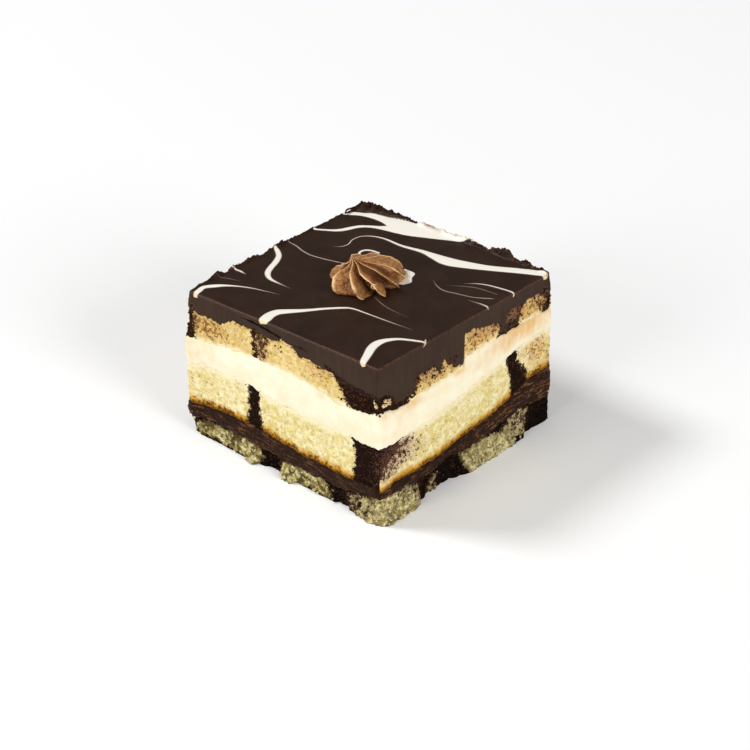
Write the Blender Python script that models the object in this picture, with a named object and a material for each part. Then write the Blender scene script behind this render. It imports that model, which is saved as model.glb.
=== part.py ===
"""A square of layered tuxedo cake with one piped rosette. Metres, +Z up, the base's middle at the origin.

From the base up: marbled sponge, fudge, sponge, cream, sponge and ganache. Places round the block
are given in side lengths from the left corner: 0 left, 1 front, 2 right and 3 back. A place
towards the middle is an inward share: 0 on the cut face, 1 at the middle.
"""

import math
from dataclasses import dataclass

import bmesh
import bpy
import numpy as np
from mathutils import Vector, noise

MM = 0.001
SIDES = 4

# The block. It was cut a little askew, leans in upwards and is higher in front than behind.
BASE_CORNERS = np.array([(-53.4, -53.4), (51.3, -50.1), (54.2, 54.0), (-50.5, 51.5)]) * MM
TOP_CORNERS = np.array([(-52.5, -52.5), (49.8, -49.6), (52.6, 53.0), (-49.4, 50.8)]) * MM
TOP_HEIGHTS = np.array([70.4, 75.5, 73.2, 69.1]) * MM
CORNER_RADIUS = 1.4 * MM
CORNER_BLEND = 0.008
SEAM_GAP = 0.3 * MM

# Columns of the wall's mesh, closer together at the corners and where the top sponge slipped.
COLUMNS_A_SIDE = 28
SLIP = 1.485
SLIP_HALF = 0.004
SLIP_FROM = SLIP - SLIP_HALF
SLIP_TO = SLIP + SLIP_HALF
SLIP_RUN = 2 * SLIP_HALF

# A seam is level between its heights at the four corners, apart from the stretches that dip or rise:
# (from, to, run in, run out, rise), the places and runs in side lengths and the rise in millimetres.
SEAMS = {
    "fudge_base": (
        (8.9, 13.0, 13.3, 12.0),
        (
            (0.00, 1.00, 0.80, 0.25, -3.3),
            (1.12, 1.38, 0.10, 0.06, -1.6),
            (1.44, 1.74, 0.06, 0.10, -2.0),
            (1.76, 1.92, 0.06, 0.06, 2.0),
            (2.15, 2.45, 0.10, 0.10, -2.0),
            (2.60, 2.90, 0.10, 0.10, 1.5),
            (3.20, 3.50, 0.10, 0.10, -1.8),
            (3.60, 3.80, 0.06, 0.06, 1.4),
        ),
    ),
    "fudge_top": (
        (16.0, 17.0, 28.0, 22.0),
        (
            (0.10, 0.50, 0.12, 0.12, 1.2),
            (0.52, 0.97, 0.08, 0.10, -0.8),
            (1.00, 1.90, 0.30, 0.40, -3.5),
            (2.10, 2.40, 0.10, 0.10, -1.5),
            (2.50, 2.80, 0.10, 0.10, 1.2),
            (3.15, 3.40, 0.10, 0.10, 1.3),
            (3.50, 3.85, 0.10, 0.10, -1.2),
        ),
    ),
    "cream_base": (
        (36.5, 38.2, 46.3, 41.0),
        (
            (0.20, 0.38, 0.06, 0.05, 1.4),
            (0.42, 0.80, 0.08, 0.08, -1.9),
            (1.00, 1.75, 0.20, 0.40, -2.8),
            (1.76, 2.05, 0.06, 0.10, 1.4),
            (2.30, 2.60, 0.12, 0.12, -1.8),
            (3.10, 3.35, 0.08, 0.08, 1.6),
            (3.50, 3.90, 0.10, 0.10, -1.2),
        ),
    ),
    "cream_top": (
        (48.5, 53.6, 56.4, 51.5),
        (
            (0.10, 0.72, 0.20, 0.20, 2.0),
            (0.72, 1.00, 0.06, 0.12, -2.2),
            (1.02, SLIP_TO, 0.08, SLIP_RUN, -2.7),
            (SLIP_FROM, 1.95, SLIP_RUN, 0.40, 2.9),
            (2.15, 2.50, 0.10, 0.10, -2.0),
            (2.70, 2.95, 0.10, 0.10, 1.5),
            (3.20, 3.60, 0.10, 0.15, 1.8),
        ),
    ),
    "ganache_base": (
        (61.8, 61.0, 65.0, 62.5),
        (
            (0.16, 0.79, 0.09, 0.02, 3.9),
            (0.44, 0.575, 0.06, 0.02, 1.8),
            (0.79, 1.03, 0.05, 0.03, -1.5),
            (1.04, 1.215, 0.03, 0.015, -7.0),
            (1.215, SLIP, 0.01, 0.01, -1.0),
            (1.325, 1.37, 0.012, 0.012, -3.6),
            (1.405, SLIP_TO, 0.02, SLIP_RUN, -6.5),
            (SLIP_FROM, 1.70, SLIP_RUN, 0.18, 5.2),
            (1.685, 1.83, 0.015, 0.03, -6.3),
            (1.83, 1.96, 0.03, 0.03, 1.6),
            (2.12, 2.30, 0.03, 0.03, -5.0),
            (2.40, 2.75, 0.05, 0.08, 2.5),
            (2.80, 2.90, 0.02, 0.03, -4.5),
            (3.15, 3.50, 0.06, 0.06, 2.2),
            (3.55, 3.70, 0.03, 0.03, -5.5),
            (3.75, 3.93, 0.04, 0.04, 1.5),
        ),
    ),
}

# How far the wall stands out at the base, with the same five values, fading upwards: pale lumps of
# sponge spread on the base, and the dark parts between them stay back.
SPREAD = (
    (0.02, 0.38, 0.03, 0.02, 0.6),
    (0.29, 0.36, 0.02, 0.02, 1.4),
    (0.39, 0.48, 0.02, 0.02, -1.4),
    (0.48, 0.57, 0.02, 0.03, 2.0),
    (0.76, 0.84, 0.02, 0.02, -1.4),
    (0.85, 1.00, 0.03, 0.04, 0.9),
    (1.00, 1.23, 0.04, 0.03, 2.2),
    (1.25, 1.44, 0.03, 0.03, -1.6),
    (1.45, 1.86, 0.04, 0.04, 2.0),
    (2.10, 2.42, 0.04, 0.04, 1.8),
    (2.44, 2.60, 0.03, 0.03, -1.4),
    (2.64, 2.92, 0.04, 0.04, 1.3),
    (3.05, 3.32, 0.04, 0.04, 1.8),
    (3.34, 3.52, 0.03, 0.03, -1.4),
    (3.55, 3.86, 0.04, 0.04, 1.6),
)
SPREAD_HEIGHT = 9.0 * MM

# The left and right corners are pressed outwards between two heights each, over a run up and down.
CORNER_SWELL_WIDTH = 0.06
LEFT_SWELL = 2.2 * MM
LEFT_SWELL_HEIGHTS = (1.0 * MM, 57.0 * MM)
RIGHT_SWELL = 0.9 * MM
RIGHT_SWELL_HEIGHTS = (-9.0 * MM, 76.0 * MM)
CORNER_SWELL_RUN = 11.0 * MM

# The ganache's cut edge, and the crumbs pushed up along the two back edges between two corners.
RIM_DROP = 0.5 * MM
RIM_INSET = 0.015
CRUMB_RIDGE_FROM = 1.95
CRUMB_RIDGE_TO = 4.0
CRUMB_RIDGE_RUN = 0.1
CRUMB_RIDGE = 1.1 * MM
CRUMB_RIDGE_INSET = 0.07
CRUMB_RIDGE_LUMP = 5.0 * MM
CRUMB_RIDGE_UNEVENNESS = 1.5
CRUMB_RIDGE_SEED = 7.0

# Each layer's cut faces are rough with lumps of one size.
CRUMB_LUMP = 4.0 * MM
LAYER_SEED = 11.0

# Inside the block the seams flatten towards their own mean height.
INNER_RING = 0.35
INNER_RING_SHARE = 0.3

# The rosette. Its crests shrink from the base to the tip as (1 - share ** RISE) ** SHARPNESS, and the
# tip leans over late.
ROSETTE_CENTRE = np.array([-1.2, 0.3]) * MM
ROSETTE_RADIUS = 17.0 * MM
ROSETTE_HEIGHT = 12.4 * MM
ROSETTE_RISE = 3.6
ROSETTE_SHARPNESS = 1.3
ROSETTE_LEAN = np.array([-2.9, -6.4]) * MM
ROSETTE_LEAN_POWER = 3.5
ROSETTE_FOOT = 0.07
ROSETTE_FOOT_HEIGHT = 0.06
ROSETTE_VALLEY = 0.24
ROSETTE_COLUMNS_A_CREST = 8
ROSETTE_ROWS = 14
# Round the base: (angle at the base, turn up to the tip, both in degrees, reach, hollow half-way up).
ROSETTE_CRESTS = (
    (184.0, 46.0, 1.10, 0.40),
    (263.0, 1.0, 1.03, -0.07),
    (311.0, 34.0, 1.04, -0.08),
    (342.0, 38.0, 0.98, -0.02),
    (370.0, 30.0, 0.88, 0.12),
    (402.0, 25.0, 0.92, 0.24),
    (430.0, 5.0, 0.97, 0.20),
    (467.0, 15.0, 1.00, 0.28),
    (505.0, 35.0, 1.05, 0.38),
)


@dataclass(frozen=True)
class Layer:
    """One layer of the block, between two seams, and how rough its cut faces are."""

    name: str
    low: str | None
    high: str | None
    rows: int
    bulge: float
    crumb: float
    colour: tuple
    roughness: float


LAYERS = (
    Layer("bottom_sponge", None, "fudge_base", 5, 0.2 * MM, 0.7 * MM, (0.44, 0.40, 0.16), 0.9),
    Layer("fudge", "fudge_base", "fudge_top", 3, 0.5 * MM, 0.35 * MM, (0.042, 0.018, 0.010), 0.55),
    Layer("middle_sponge", "fudge_top", "cream_base", 6, 0.1 * MM, 0.5 * MM, (0.75, 0.66, 0.31), 0.9),
    Layer("cream", "cream_base", "cream_top", 4, 0.7 * MM, 0.15 * MM, (0.97, 0.90, 0.67), 0.5),
    Layer("top_sponge", "cream_top", "ganache_base", 4, 0.1 * MM, 0.5 * MM, (0.75, 0.52, 0.19), 0.9),
    Layer("ganache", "ganache_base", None, 4, 0.2 * MM, 0.15 * MM, (0.034, 0.018, 0.013), 0.35),
)
ROSETTE_COLOUR = (0.31, 0.12, 0.042)
ROSETTE_ROUGHNESS = 0.6


def clear_scene() -> None:
    """Removes every object that the file starts with."""
    for obj in list(bpy.data.objects):
        bpy.data.objects.remove(obj, do_unlink=True)


def material(name: str, colour: tuple, roughness: float) -> bpy.types.Material:
    """A plain material of one colour."""
    made = bpy.data.materials.new(name)
    made.use_nodes = True
    shader = made.node_tree.nodes["Principled BSDF"]
    shader.inputs["Base Color"].default_value = (*colour, 1.0)
    shader.inputs["Roughness"].default_value = roughness
    shader.inputs["Metallic"].default_value = 0.0
    return made


def eased(value: float) -> float:
    """0 below 0, 1 above 1, and a smooth step between."""
    value = min(max(value, 0.0), 1.0)
    return value * value * (3.0 - 2.0 * value)


def stretches(around: float, table: tuple) -> float:
    """The sum of a table's rises at one place round the block, in metres."""
    total = 0.0
    for start, end, run_in, run_out, rise in table:
        for place in (around, around - SIDES, around + SIDES):
            total += rise * MM * eased((place - start) / run_in) * eased((end - place) / run_out)
    return total


def between_corners(around: float, values) -> np.ndarray:
    """A value given at the four corners, at any place round the block."""
    corner = int(around) % SIDES
    share = around - int(around)
    return values[corner] * (1.0 - share) + values[(corner + 1) % SIDES] * share


def top_height(around: float, inward: float = 0.0) -> float:
    """Height of the top, which is nearly a plane through its corners."""
    edge = between_corners(around, TOP_HEIGHTS)
    return edge + (TOP_HEIGHTS.mean() - edge) * inward


def top_plane(place: np.ndarray) -> float:
    """Height of the top at a point near its middle."""
    sides = np.roll(TOP_CORNERS, -1, axis=0) - TOP_CORNERS
    climbs = np.roll(TOP_HEIGHTS, -1) - TOP_HEIGHTS
    slope_x = (climbs[0] - climbs[2]) / (sides[0][0] - sides[2][0])
    slope_y = (climbs[1] - climbs[3]) / (sides[1][1] - sides[3][1])
    offset = place - TOP_CORNERS.mean(axis=0)
    return TOP_HEIGHTS.mean() + slope_x * offset[0] + slope_y * offset[1]


def seam_height(name: str, around: float, inward: float) -> float:
    """Height of a seam: uneven on the cut faces, flatter towards the middle."""
    corners, rises = SEAMS[name]
    mean = sum(corners) / SIDES * MM
    if inward == 1.0:
        return mean
    edge = between_corners(around, np.array(corners) * MM) + stretches(around, rises)
    share = 1.0 if inward == 0.0 else INNER_RING_SHARE
    return mean + (edge - mean) * share


def wall_point(around: float, height: float, outward: float) -> Vector:
    """A point on the cut faces at one height, moved out from the faces by a distance."""
    share = height / top_height(around)
    corners = BASE_CORNERS * (1.0 - share) + TOP_CORNERS * share
    place = between_corners(around, corners)
    from_corner = np.linalg.norm(place - corners[round(around) % SIDES])
    out = np.zeros(2)
    for neighbour in (around - CORNER_BLEND, around + CORNER_BLEND):
        side = int(neighbour % SIDES)
        along = corners[(side + 1) % SIDES] - corners[side]
        out += np.array((along[1], -along[0])) / np.linalg.norm(along)
    out /= np.linalg.norm(out)
    rounding = CORNER_RADIUS * (math.sqrt(2.0) - 1.0) * max(0.0, 1.0 - from_corner / CORNER_RADIUS)
    place = place + out * (outward - rounding)
    return Vector((*place, height))


def face_offset(around: float, height: float) -> float:
    """How far the whole wall stands out here, the same for the layers on both sides of a seam."""
    offset = stretches(around, SPREAD) * eased(1.0 - height / SPREAD_HEIGHT)
    from_left = min(around, SIDES - around) / CORNER_SWELL_WIDTH
    from_right = (around - 2.0) / CORNER_SWELL_WIDTH
    for reach, swell, (low, high) in (
        (from_left, LEFT_SWELL, LEFT_SWELL_HEIGHTS),
        (from_right, RIGHT_SWELL, RIGHT_SWELL_HEIGHTS),
    ):
        rise = eased((height - low) / CORNER_SWELL_RUN) * eased((high - height) / CORNER_SWELL_RUN)
        offset += swell * rise * math.exp(-(reach**2))
    return offset


def lumps(point: Vector, size: float, seed: float) -> float:
    """Smooth noise between -1 and 1 whose lumps have about the given size."""
    return noise.noise(point / size + Vector((seed, 2.0 * seed, 3.0 * seed)))


def column_places() -> list:
    """Places round the block where the wall's mesh has a column."""
    side = np.linalg.norm(BASE_CORNERS[1] - BASE_CORNERS[0])
    places = set(np.round(np.arange(SIDES * COLUMNS_A_SIDE) / COLUMNS_A_SIDE, 6))
    for corner in range(SIDES):
        places.add(corner + CORNER_RADIUS / side)
        places.add((corner - CORNER_RADIUS / side) % SIDES)
    places |= {SLIP_FROM, SLIP_TO}
    return sorted(float(place) for place in places)


def column_of(vert: bmesh.types.BMVert, columns: int) -> int:
    """Which of a drum's columns a vertex is on, counted the way the places run; the first is at +Y."""
    return round(-math.atan2(vert.co.x, vert.co.y) / math.tau * columns) % columns


def drum(columns: int, rows: int, top_radius: float = 1.0) -> bmesh.types.BMesh:
    """A drum of unit radius and height 1 whose wall has the given columns and rows."""
    bm = bmesh.new()
    bmesh.ops.create_cone(
        bm, cap_ends=True, segments=columns, radius1=1.0, radius2=top_radius, depth=1.0
    )
    rising = [edge for edge in bm.edges if abs(edge.verts[0].co.z - edge.verts[1].co.z) > 0.5]
    bmesh.ops.subdivide_edges(bm, edges=rising, cuts=rows - 1, use_grid_fill=True)
    return bm


def ring_cap(bm: bmesh.types.BMesh, high: bool, insets: tuple) -> None:
    """Rings a drum's cap at the inward shares given, and closes it to its middle."""
    side = 1.0 if high else -1.0
    cap = next(face for face in bm.faces if face.normal.z * side > 0.9)
    reached = 0.0
    for inset in insets:
        bmesh.ops.inset_region(bm, faces=[cap], thickness=inset - reached, use_even_offset=True)
        reached = inset
    bmesh.ops.poke(bm, faces=[cap])


def split_quads(bm: bmesh.types.BMesh, order: dict) -> None:
    """Splits each cap's quads on the diagonal from the outer vertex that comes first."""
    for face in [f for f in bm.faces if len(f.verts) == 4 and all(v in order for v in f.verts)]:
        rings = sorted({order[v][1] for v in face.verts})
        columns = sorted({order[v][0] for v in face.verts})
        first, last = columns if columns[1] - columns[0] == 1 else columns[::-1]
        outer = next(v for v in face.verts if order[v] == (first, rings[0]))
        inner = next(v for v in face.verts if order[v] == (last, rings[1]))
        bmesh.utils.face_split(face, outer, inner)


def layer_surface_height(layer: Layer, high: bool, around: float, inward: float) -> float:
    """Height of a layer's upper or lower face."""
    name = layer.high if high else layer.low
    if name:
        return seam_height(name, around, inward) + SEAM_GAP / 2 * (-1.0 if high else 1.0)
    if not high:
        return 0.0
    behind = eased((around - CRUMB_RIDGE_FROM) / CRUMB_RIDGE_RUN)
    behind *= eased((CRUMB_RIDGE_TO - around) / CRUMB_RIDGE_RUN)
    point = wall_point(around, top_height(around), 0.0)
    bump = 1.0 + CRUMB_RIDGE_UNEVENNESS * lumps(point, CRUMB_RIDGE_LUMP, CRUMB_RIDGE_SEED)
    ridge = CRUMB_RIDGE * max(0.0, bump) * behind * eased(1.0 - inward / CRUMB_RIDGE_INSET)
    drop = RIM_DROP if inward == 0.0 else 0.0
    return top_height(around, inward) + ridge - drop


def build_layer(layer: Layer, seed: float) -> bmesh.types.BMesh:
    """One layer: a drum whose wall and caps are laid on the block's faces and seams."""
    places = column_places()
    bm = drum(len(places), layer.rows)
    upper_insets = (INNER_RING,) if layer.high else (RIM_INSET, CRUMB_RIDGE_INSET)
    ring_cap(bm, True, upper_insets)
    if layer.low:
        ring_cap(bm, False, (INNER_RING,))
    middle = Vector((*TOP_CORNERS.mean(axis=0), 0.0))
    order = {}
    for vert in bm.verts:
        x, y, z = vert.co
        column = column_of(vert, len(places))
        inward = 1.0 - math.hypot(x, y)
        on_cap = abs(z) > 0.499
        rings = (0.0, *(upper_insets if z > 0.0 else (INNER_RING,)), 1.0)
        ring = min(range(len(rings)), key=lambda index: abs(rings[index] - inward))
        inward = rings[ring] if on_cap else 0.0
        if on_cap and inward < 1.0:
            order[vert] = (column, ring + (len(rings) if z > 0.0 else 0))
        place = places[column]
        low = layer_surface_height(layer, False, place, inward)
        high = layer_surface_height(layer, True, place, inward)
        share = z + 0.5
        height = low + (high - low) * share
        outward = face_offset(place, height)
        if not on_cap:
            arch = 4.0 * share * (1.0 - share)
            point = wall_point(place, height, 0.0)
            outward += layer.bulge * arch + layer.crumb * lumps(point, CRUMB_LUMP, seed)
        outer = wall_point(place, height, outward)
        target = Vector((middle.x, middle.y, outer.z))
        vert.co = outer.lerp(target, inward)
    split_quads(bm, order)
    bm.normal_update()
    return bm


def crest_values(column: float) -> tuple:
    """The crests' angle, turn, reach and hollow, between two crests as a blend of theirs."""
    first = ROSETTE_CRESTS[0]
    table = np.array((*ROSETTE_CRESTS, (first[0] + 360.0, *first[1:])))
    return tuple(np.interp(column, range(len(table)), table[:, item]) for item in range(4))


def build_rosette() -> bmesh.types.BMesh:
    """The piped star: crested rings that shrink, turn and lean towards its tip."""
    columns = len(ROSETTE_CRESTS) * ROSETTE_COLUMNS_A_CREST
    bm = drum(columns, ROSETTE_ROWS, 0.0)
    for vert in bm.verts:
        share = vert.co.z + 0.5
        column = column_of(vert, columns) / ROSETTE_COLUMNS_A_CREST
        angle, turn, reach, hollow = crest_values(column)
        radius = ROSETTE_RADIUS * (1.0 - share**ROSETTE_RISE) ** ROSETTE_SHARPNESS
        radius *= 1.0 + (reach - 1.0) * (1.0 - share)
        radius *= 1.0 - hollow * 4.0 * share * (1.0 - share)
        radius *= 1.0 - ROSETTE_FOOT * math.exp(-share / ROSETTE_FOOT_HEIGHT)
        radius *= 1.0 - ROSETTE_VALLEY * abs(math.sin(math.pi * column))
        turned = math.radians(angle - turn * share)
        place = ROSETTE_CENTRE + ROSETTE_LEAN * share**ROSETTE_LEAN_POWER
        place = place + radius * np.array((math.cos(turned), math.sin(turned)))
        floor = top_plane(place) + SEAM_GAP
        vert.co = Vector((*place, floor + ROSETTE_HEIGHT * share))
    bm.normal_update()
    return bm


def add_object(name: str, bm: bmesh.types.BMesh, look: bpy.types.Material, parts) -> None:
    """Makes an object of a finished shape, smooth with sharp seams, and puts it in the collection."""
    mesh = bpy.data.meshes.new(name)
    bm.to_mesh(mesh)
    bm.free()
    mesh.shade_smooth()
    mesh.set_sharp_from_angle(angle=math.radians(50.0))
    mesh.materials.append(look)
    parts.objects.link(bpy.data.objects.new(name, mesh))


def main() -> None:
    """Builds the layers from the base up, and the rosette."""
    clear_scene()
    parts = bpy.data.collections.new("tuxedo_cake")
    bpy.context.scene.collection.children.link(parts)
    for number, layer in enumerate(LAYERS):
        look = material(layer.name, layer.colour, layer.roughness)
        add_object(layer.name, build_layer(layer, LAYER_SEED * (number + 1)), look, parts)
    look = material("rosette", ROSETTE_COLOUR, ROSETTE_ROUGHNESS)
    add_object("rosette", build_rosette(), look, parts)


if __name__ == "__main__":
    main()
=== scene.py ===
"""Dresses a square of layered cake: open crumb, fudge, cream, ganache, swirls and a rosette.

Sizes are millimetres until a mesh is made, and the meshes are in metres. Places round the block run
in side lengths from the left corner: 0 left, 1 front, 2 right and 3 back. A place on a cut face is
(distance from the side's first corner, height).
"""

import logging
import math
from dataclasses import dataclass
from enum import Enum, IntEnum

import bpy
import numpy as np
from mathutils import Matrix, Vector


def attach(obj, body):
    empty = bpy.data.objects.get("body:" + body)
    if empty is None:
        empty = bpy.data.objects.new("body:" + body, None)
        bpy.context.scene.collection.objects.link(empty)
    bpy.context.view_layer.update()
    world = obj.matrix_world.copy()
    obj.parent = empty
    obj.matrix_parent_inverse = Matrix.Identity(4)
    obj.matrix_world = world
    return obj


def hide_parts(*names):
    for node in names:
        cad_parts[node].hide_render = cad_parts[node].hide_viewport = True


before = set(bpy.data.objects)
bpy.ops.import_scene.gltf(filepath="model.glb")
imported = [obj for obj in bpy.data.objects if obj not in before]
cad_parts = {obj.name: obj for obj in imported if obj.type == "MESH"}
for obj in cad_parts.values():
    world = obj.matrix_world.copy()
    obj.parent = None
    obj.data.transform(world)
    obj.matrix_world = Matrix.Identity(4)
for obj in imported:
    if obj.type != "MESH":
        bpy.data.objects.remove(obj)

MM = 0.001
SIDES = 4
BODY = "root"
HALF_HEIGHT = 37.0
FAR = 99.0
DEEPEST = 6.0
HASH_STEPS = (73856093, 19349663, 83492791)
HASH_SEED = 31
HASH_SALT = 2654435761
HASH_ROUNDS = ((16, 0x7FEB352D), (15, 0x846CA68B))
HASH_BITS = 0xFFFFFFFF
OCTAVE_SHIFT = 37.0
OCTAVE_SHARE = 0.55
LOG = logging.getLogger("cake")
Array = np.ndarray
Relief = tuple[Array, dict[str, Array]]
Colour = tuple[float, float, float]
Table = tuple[tuple[float, ...], ...]


def seen(red: float, green: float, blue: float) -> Colour:
    """Turns an sRGB colour into the linear one that a shader takes.

    Args:
        red: Red from 0 to 255.
        green: Green from 0 to 255.
        blue: Blue from 0 to 255.

    Returns:
        The linear colour, each channel from 0 to 1.
    """
    shares = (red / 255.0, green / 255.0, blue / 255.0)
    return tuple(s / 12.92 if s <= 0.04045 else ((s + 0.055) / 1.055) ** 2.4 for s in shares)


def eased(value: Array) -> Array:
    """A smooth step: 0 below 0, 1 above 1, and three squares less two cubes between."""
    value = np.clip(value, 0.0, 1.0)
    return value * value * (3.0 - 2.0 * value)


def stretches(around: Array, table: Table) -> Array:
    """Adds up the windows of a table at places round the block.

    Each window rises over its run in, stays level and falls over its run out, by smooth steps.

    Args:
        around: Places round the block.
        table: Windows as (from, to, run in, run out, rise).

    Returns:
        The sum of the rises at each place.
    """
    total = np.zeros_like(around)
    for start, end, run_in, run_out, rise in table:
        for place in (around, around - SIDES, around + SIDES):
            total += rise * eased((place - start) / run_in) * eased((end - place) / run_out)
    return total


@dataclass(frozen=True)
class Grain:
    """Repeatable noise over whole arrays of points."""

    seed: int

    def random(self, cells: Array, salt: int) -> Array:
        """Gives each whole-numbered cell its own number.

        The three coordinates are multiplied by large odd numbers and added, and the bits are mixed.

        Args:
            cells: Cells, with three coordinates on the last axis.
            salt: Tells apart several numbers of one cell.

        Returns:
            Numbers from 0 to 1.
        """
        mixed = (cells.astype(np.int64) * np.array(HASH_STEPS)).sum(axis=-1)
        mixed = (mixed + (self.seed * HASH_SEED + salt) * HASH_SALT) & HASH_BITS
        for shift, factor in HASH_ROUNDS:
            mixed ^= mixed >> shift
            mixed = (mixed * factor) & HASH_BITS
        mixed ^= mixed >> HASH_ROUNDS[0][0]
        return mixed / HASH_BITS

    def smooth(self, points: Array, size: float | Array) -> Array:
        """Noise from -1 to 1: the numbers of a cell's eight corners, blended by smooth steps.

        Args:
            points: Points, with x, y and z on the last axis.
            size: The size of its lumps.

        Returns:
            The noise at each point.
        """
        scaled = points / size
        low = np.floor(scaled)
        share = eased(scaled - low)
        total = np.zeros(points.shape[:-1])
        for corner in np.ndindex(2, 2, 2):
            weight = np.prod(np.where(corner, share, 1.0 - share), axis=-1)
            total += weight * self.random(low + corner, 0)
        return 2.0 * total - 1.0

    def layered(self, points: Array, size: float, octaves: int = 3) -> Array:
        """Sums octaves of noise, each half as large and 0.55 as strong as the one before.

        Args:
            points: Points, with x, y and z on the last axis.
            size: The size of the largest lumps.
            octaves: How many noises it sums.

        Returns:
            The noise at each point, from -1 to 1.
        """
        total = np.zeros(points.shape[:-1])
        strength = 1.0
        reached = 0.0
        for octave in range(octaves):
            total += strength * self.smooth(points + OCTAVE_SHIFT * octave, size / 2.0**octave)
            reached += strength
            strength *= OCTAVE_SHARE
        return total / reached

    def pits(self, points: Array, size: float, share: float, radii: tuple) -> Array:
        """How deep each point is in round pits, from 0 outside to 1 in a pit's middle.

        Each cell may hold one pit at a random place in it. The depth is 1 less the distance to the
        pit's centre over its radius, by a smooth step, and the deepest of the near pits counts.

        Args:
            points: Points, with x, y and z on the last axis.
            size: The side of a cell.
            share: The share of the cells that hold a pit.
            radii: The smallest and the largest radius.

        Returns:
            The depth at each point.
        """
        low = np.floor(points / size)
        deepest = np.zeros(points.shape[:-1])
        for step in np.ndindex(3, 3, 3):
            cell = low + step - 1.0
            jitter = np.stack([self.random(cell, salt) for salt in (1, 2, 3)], axis=-1)
            away = np.linalg.norm(points - (cell + jitter) * size, axis=-1)
            radius = radii[0] + (radii[1] - radii[0]) * self.random(cell, 4)
            depth = np.where(self.random(cell, 5) < share, 1.0 - away / radius, 0.0)
            deepest = np.maximum(deepest, depth)
        return eased(deepest)


class Draw(IntEnum):
    """The seeds of the noises that belong to no layer."""

    RIDGE_BROAD = 7
    RIDGE_FINE = 8
    WAVES_BROAD = 9
    WAVES_FINE = 10
    HEAP = 11
    ROSETTE_SWAY = 61
    ROSETTE_BROAD = 62
    ROSETTE_ROUGH = 63
    ROSETTE_FINE = 64


class Side(Enum):
    """The four cut faces, in the order that places round the block run."""

    LEFT = 0
    RIGHT = 1
    BACK_RIGHT = 2
    BACK_LEFT = 3


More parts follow.
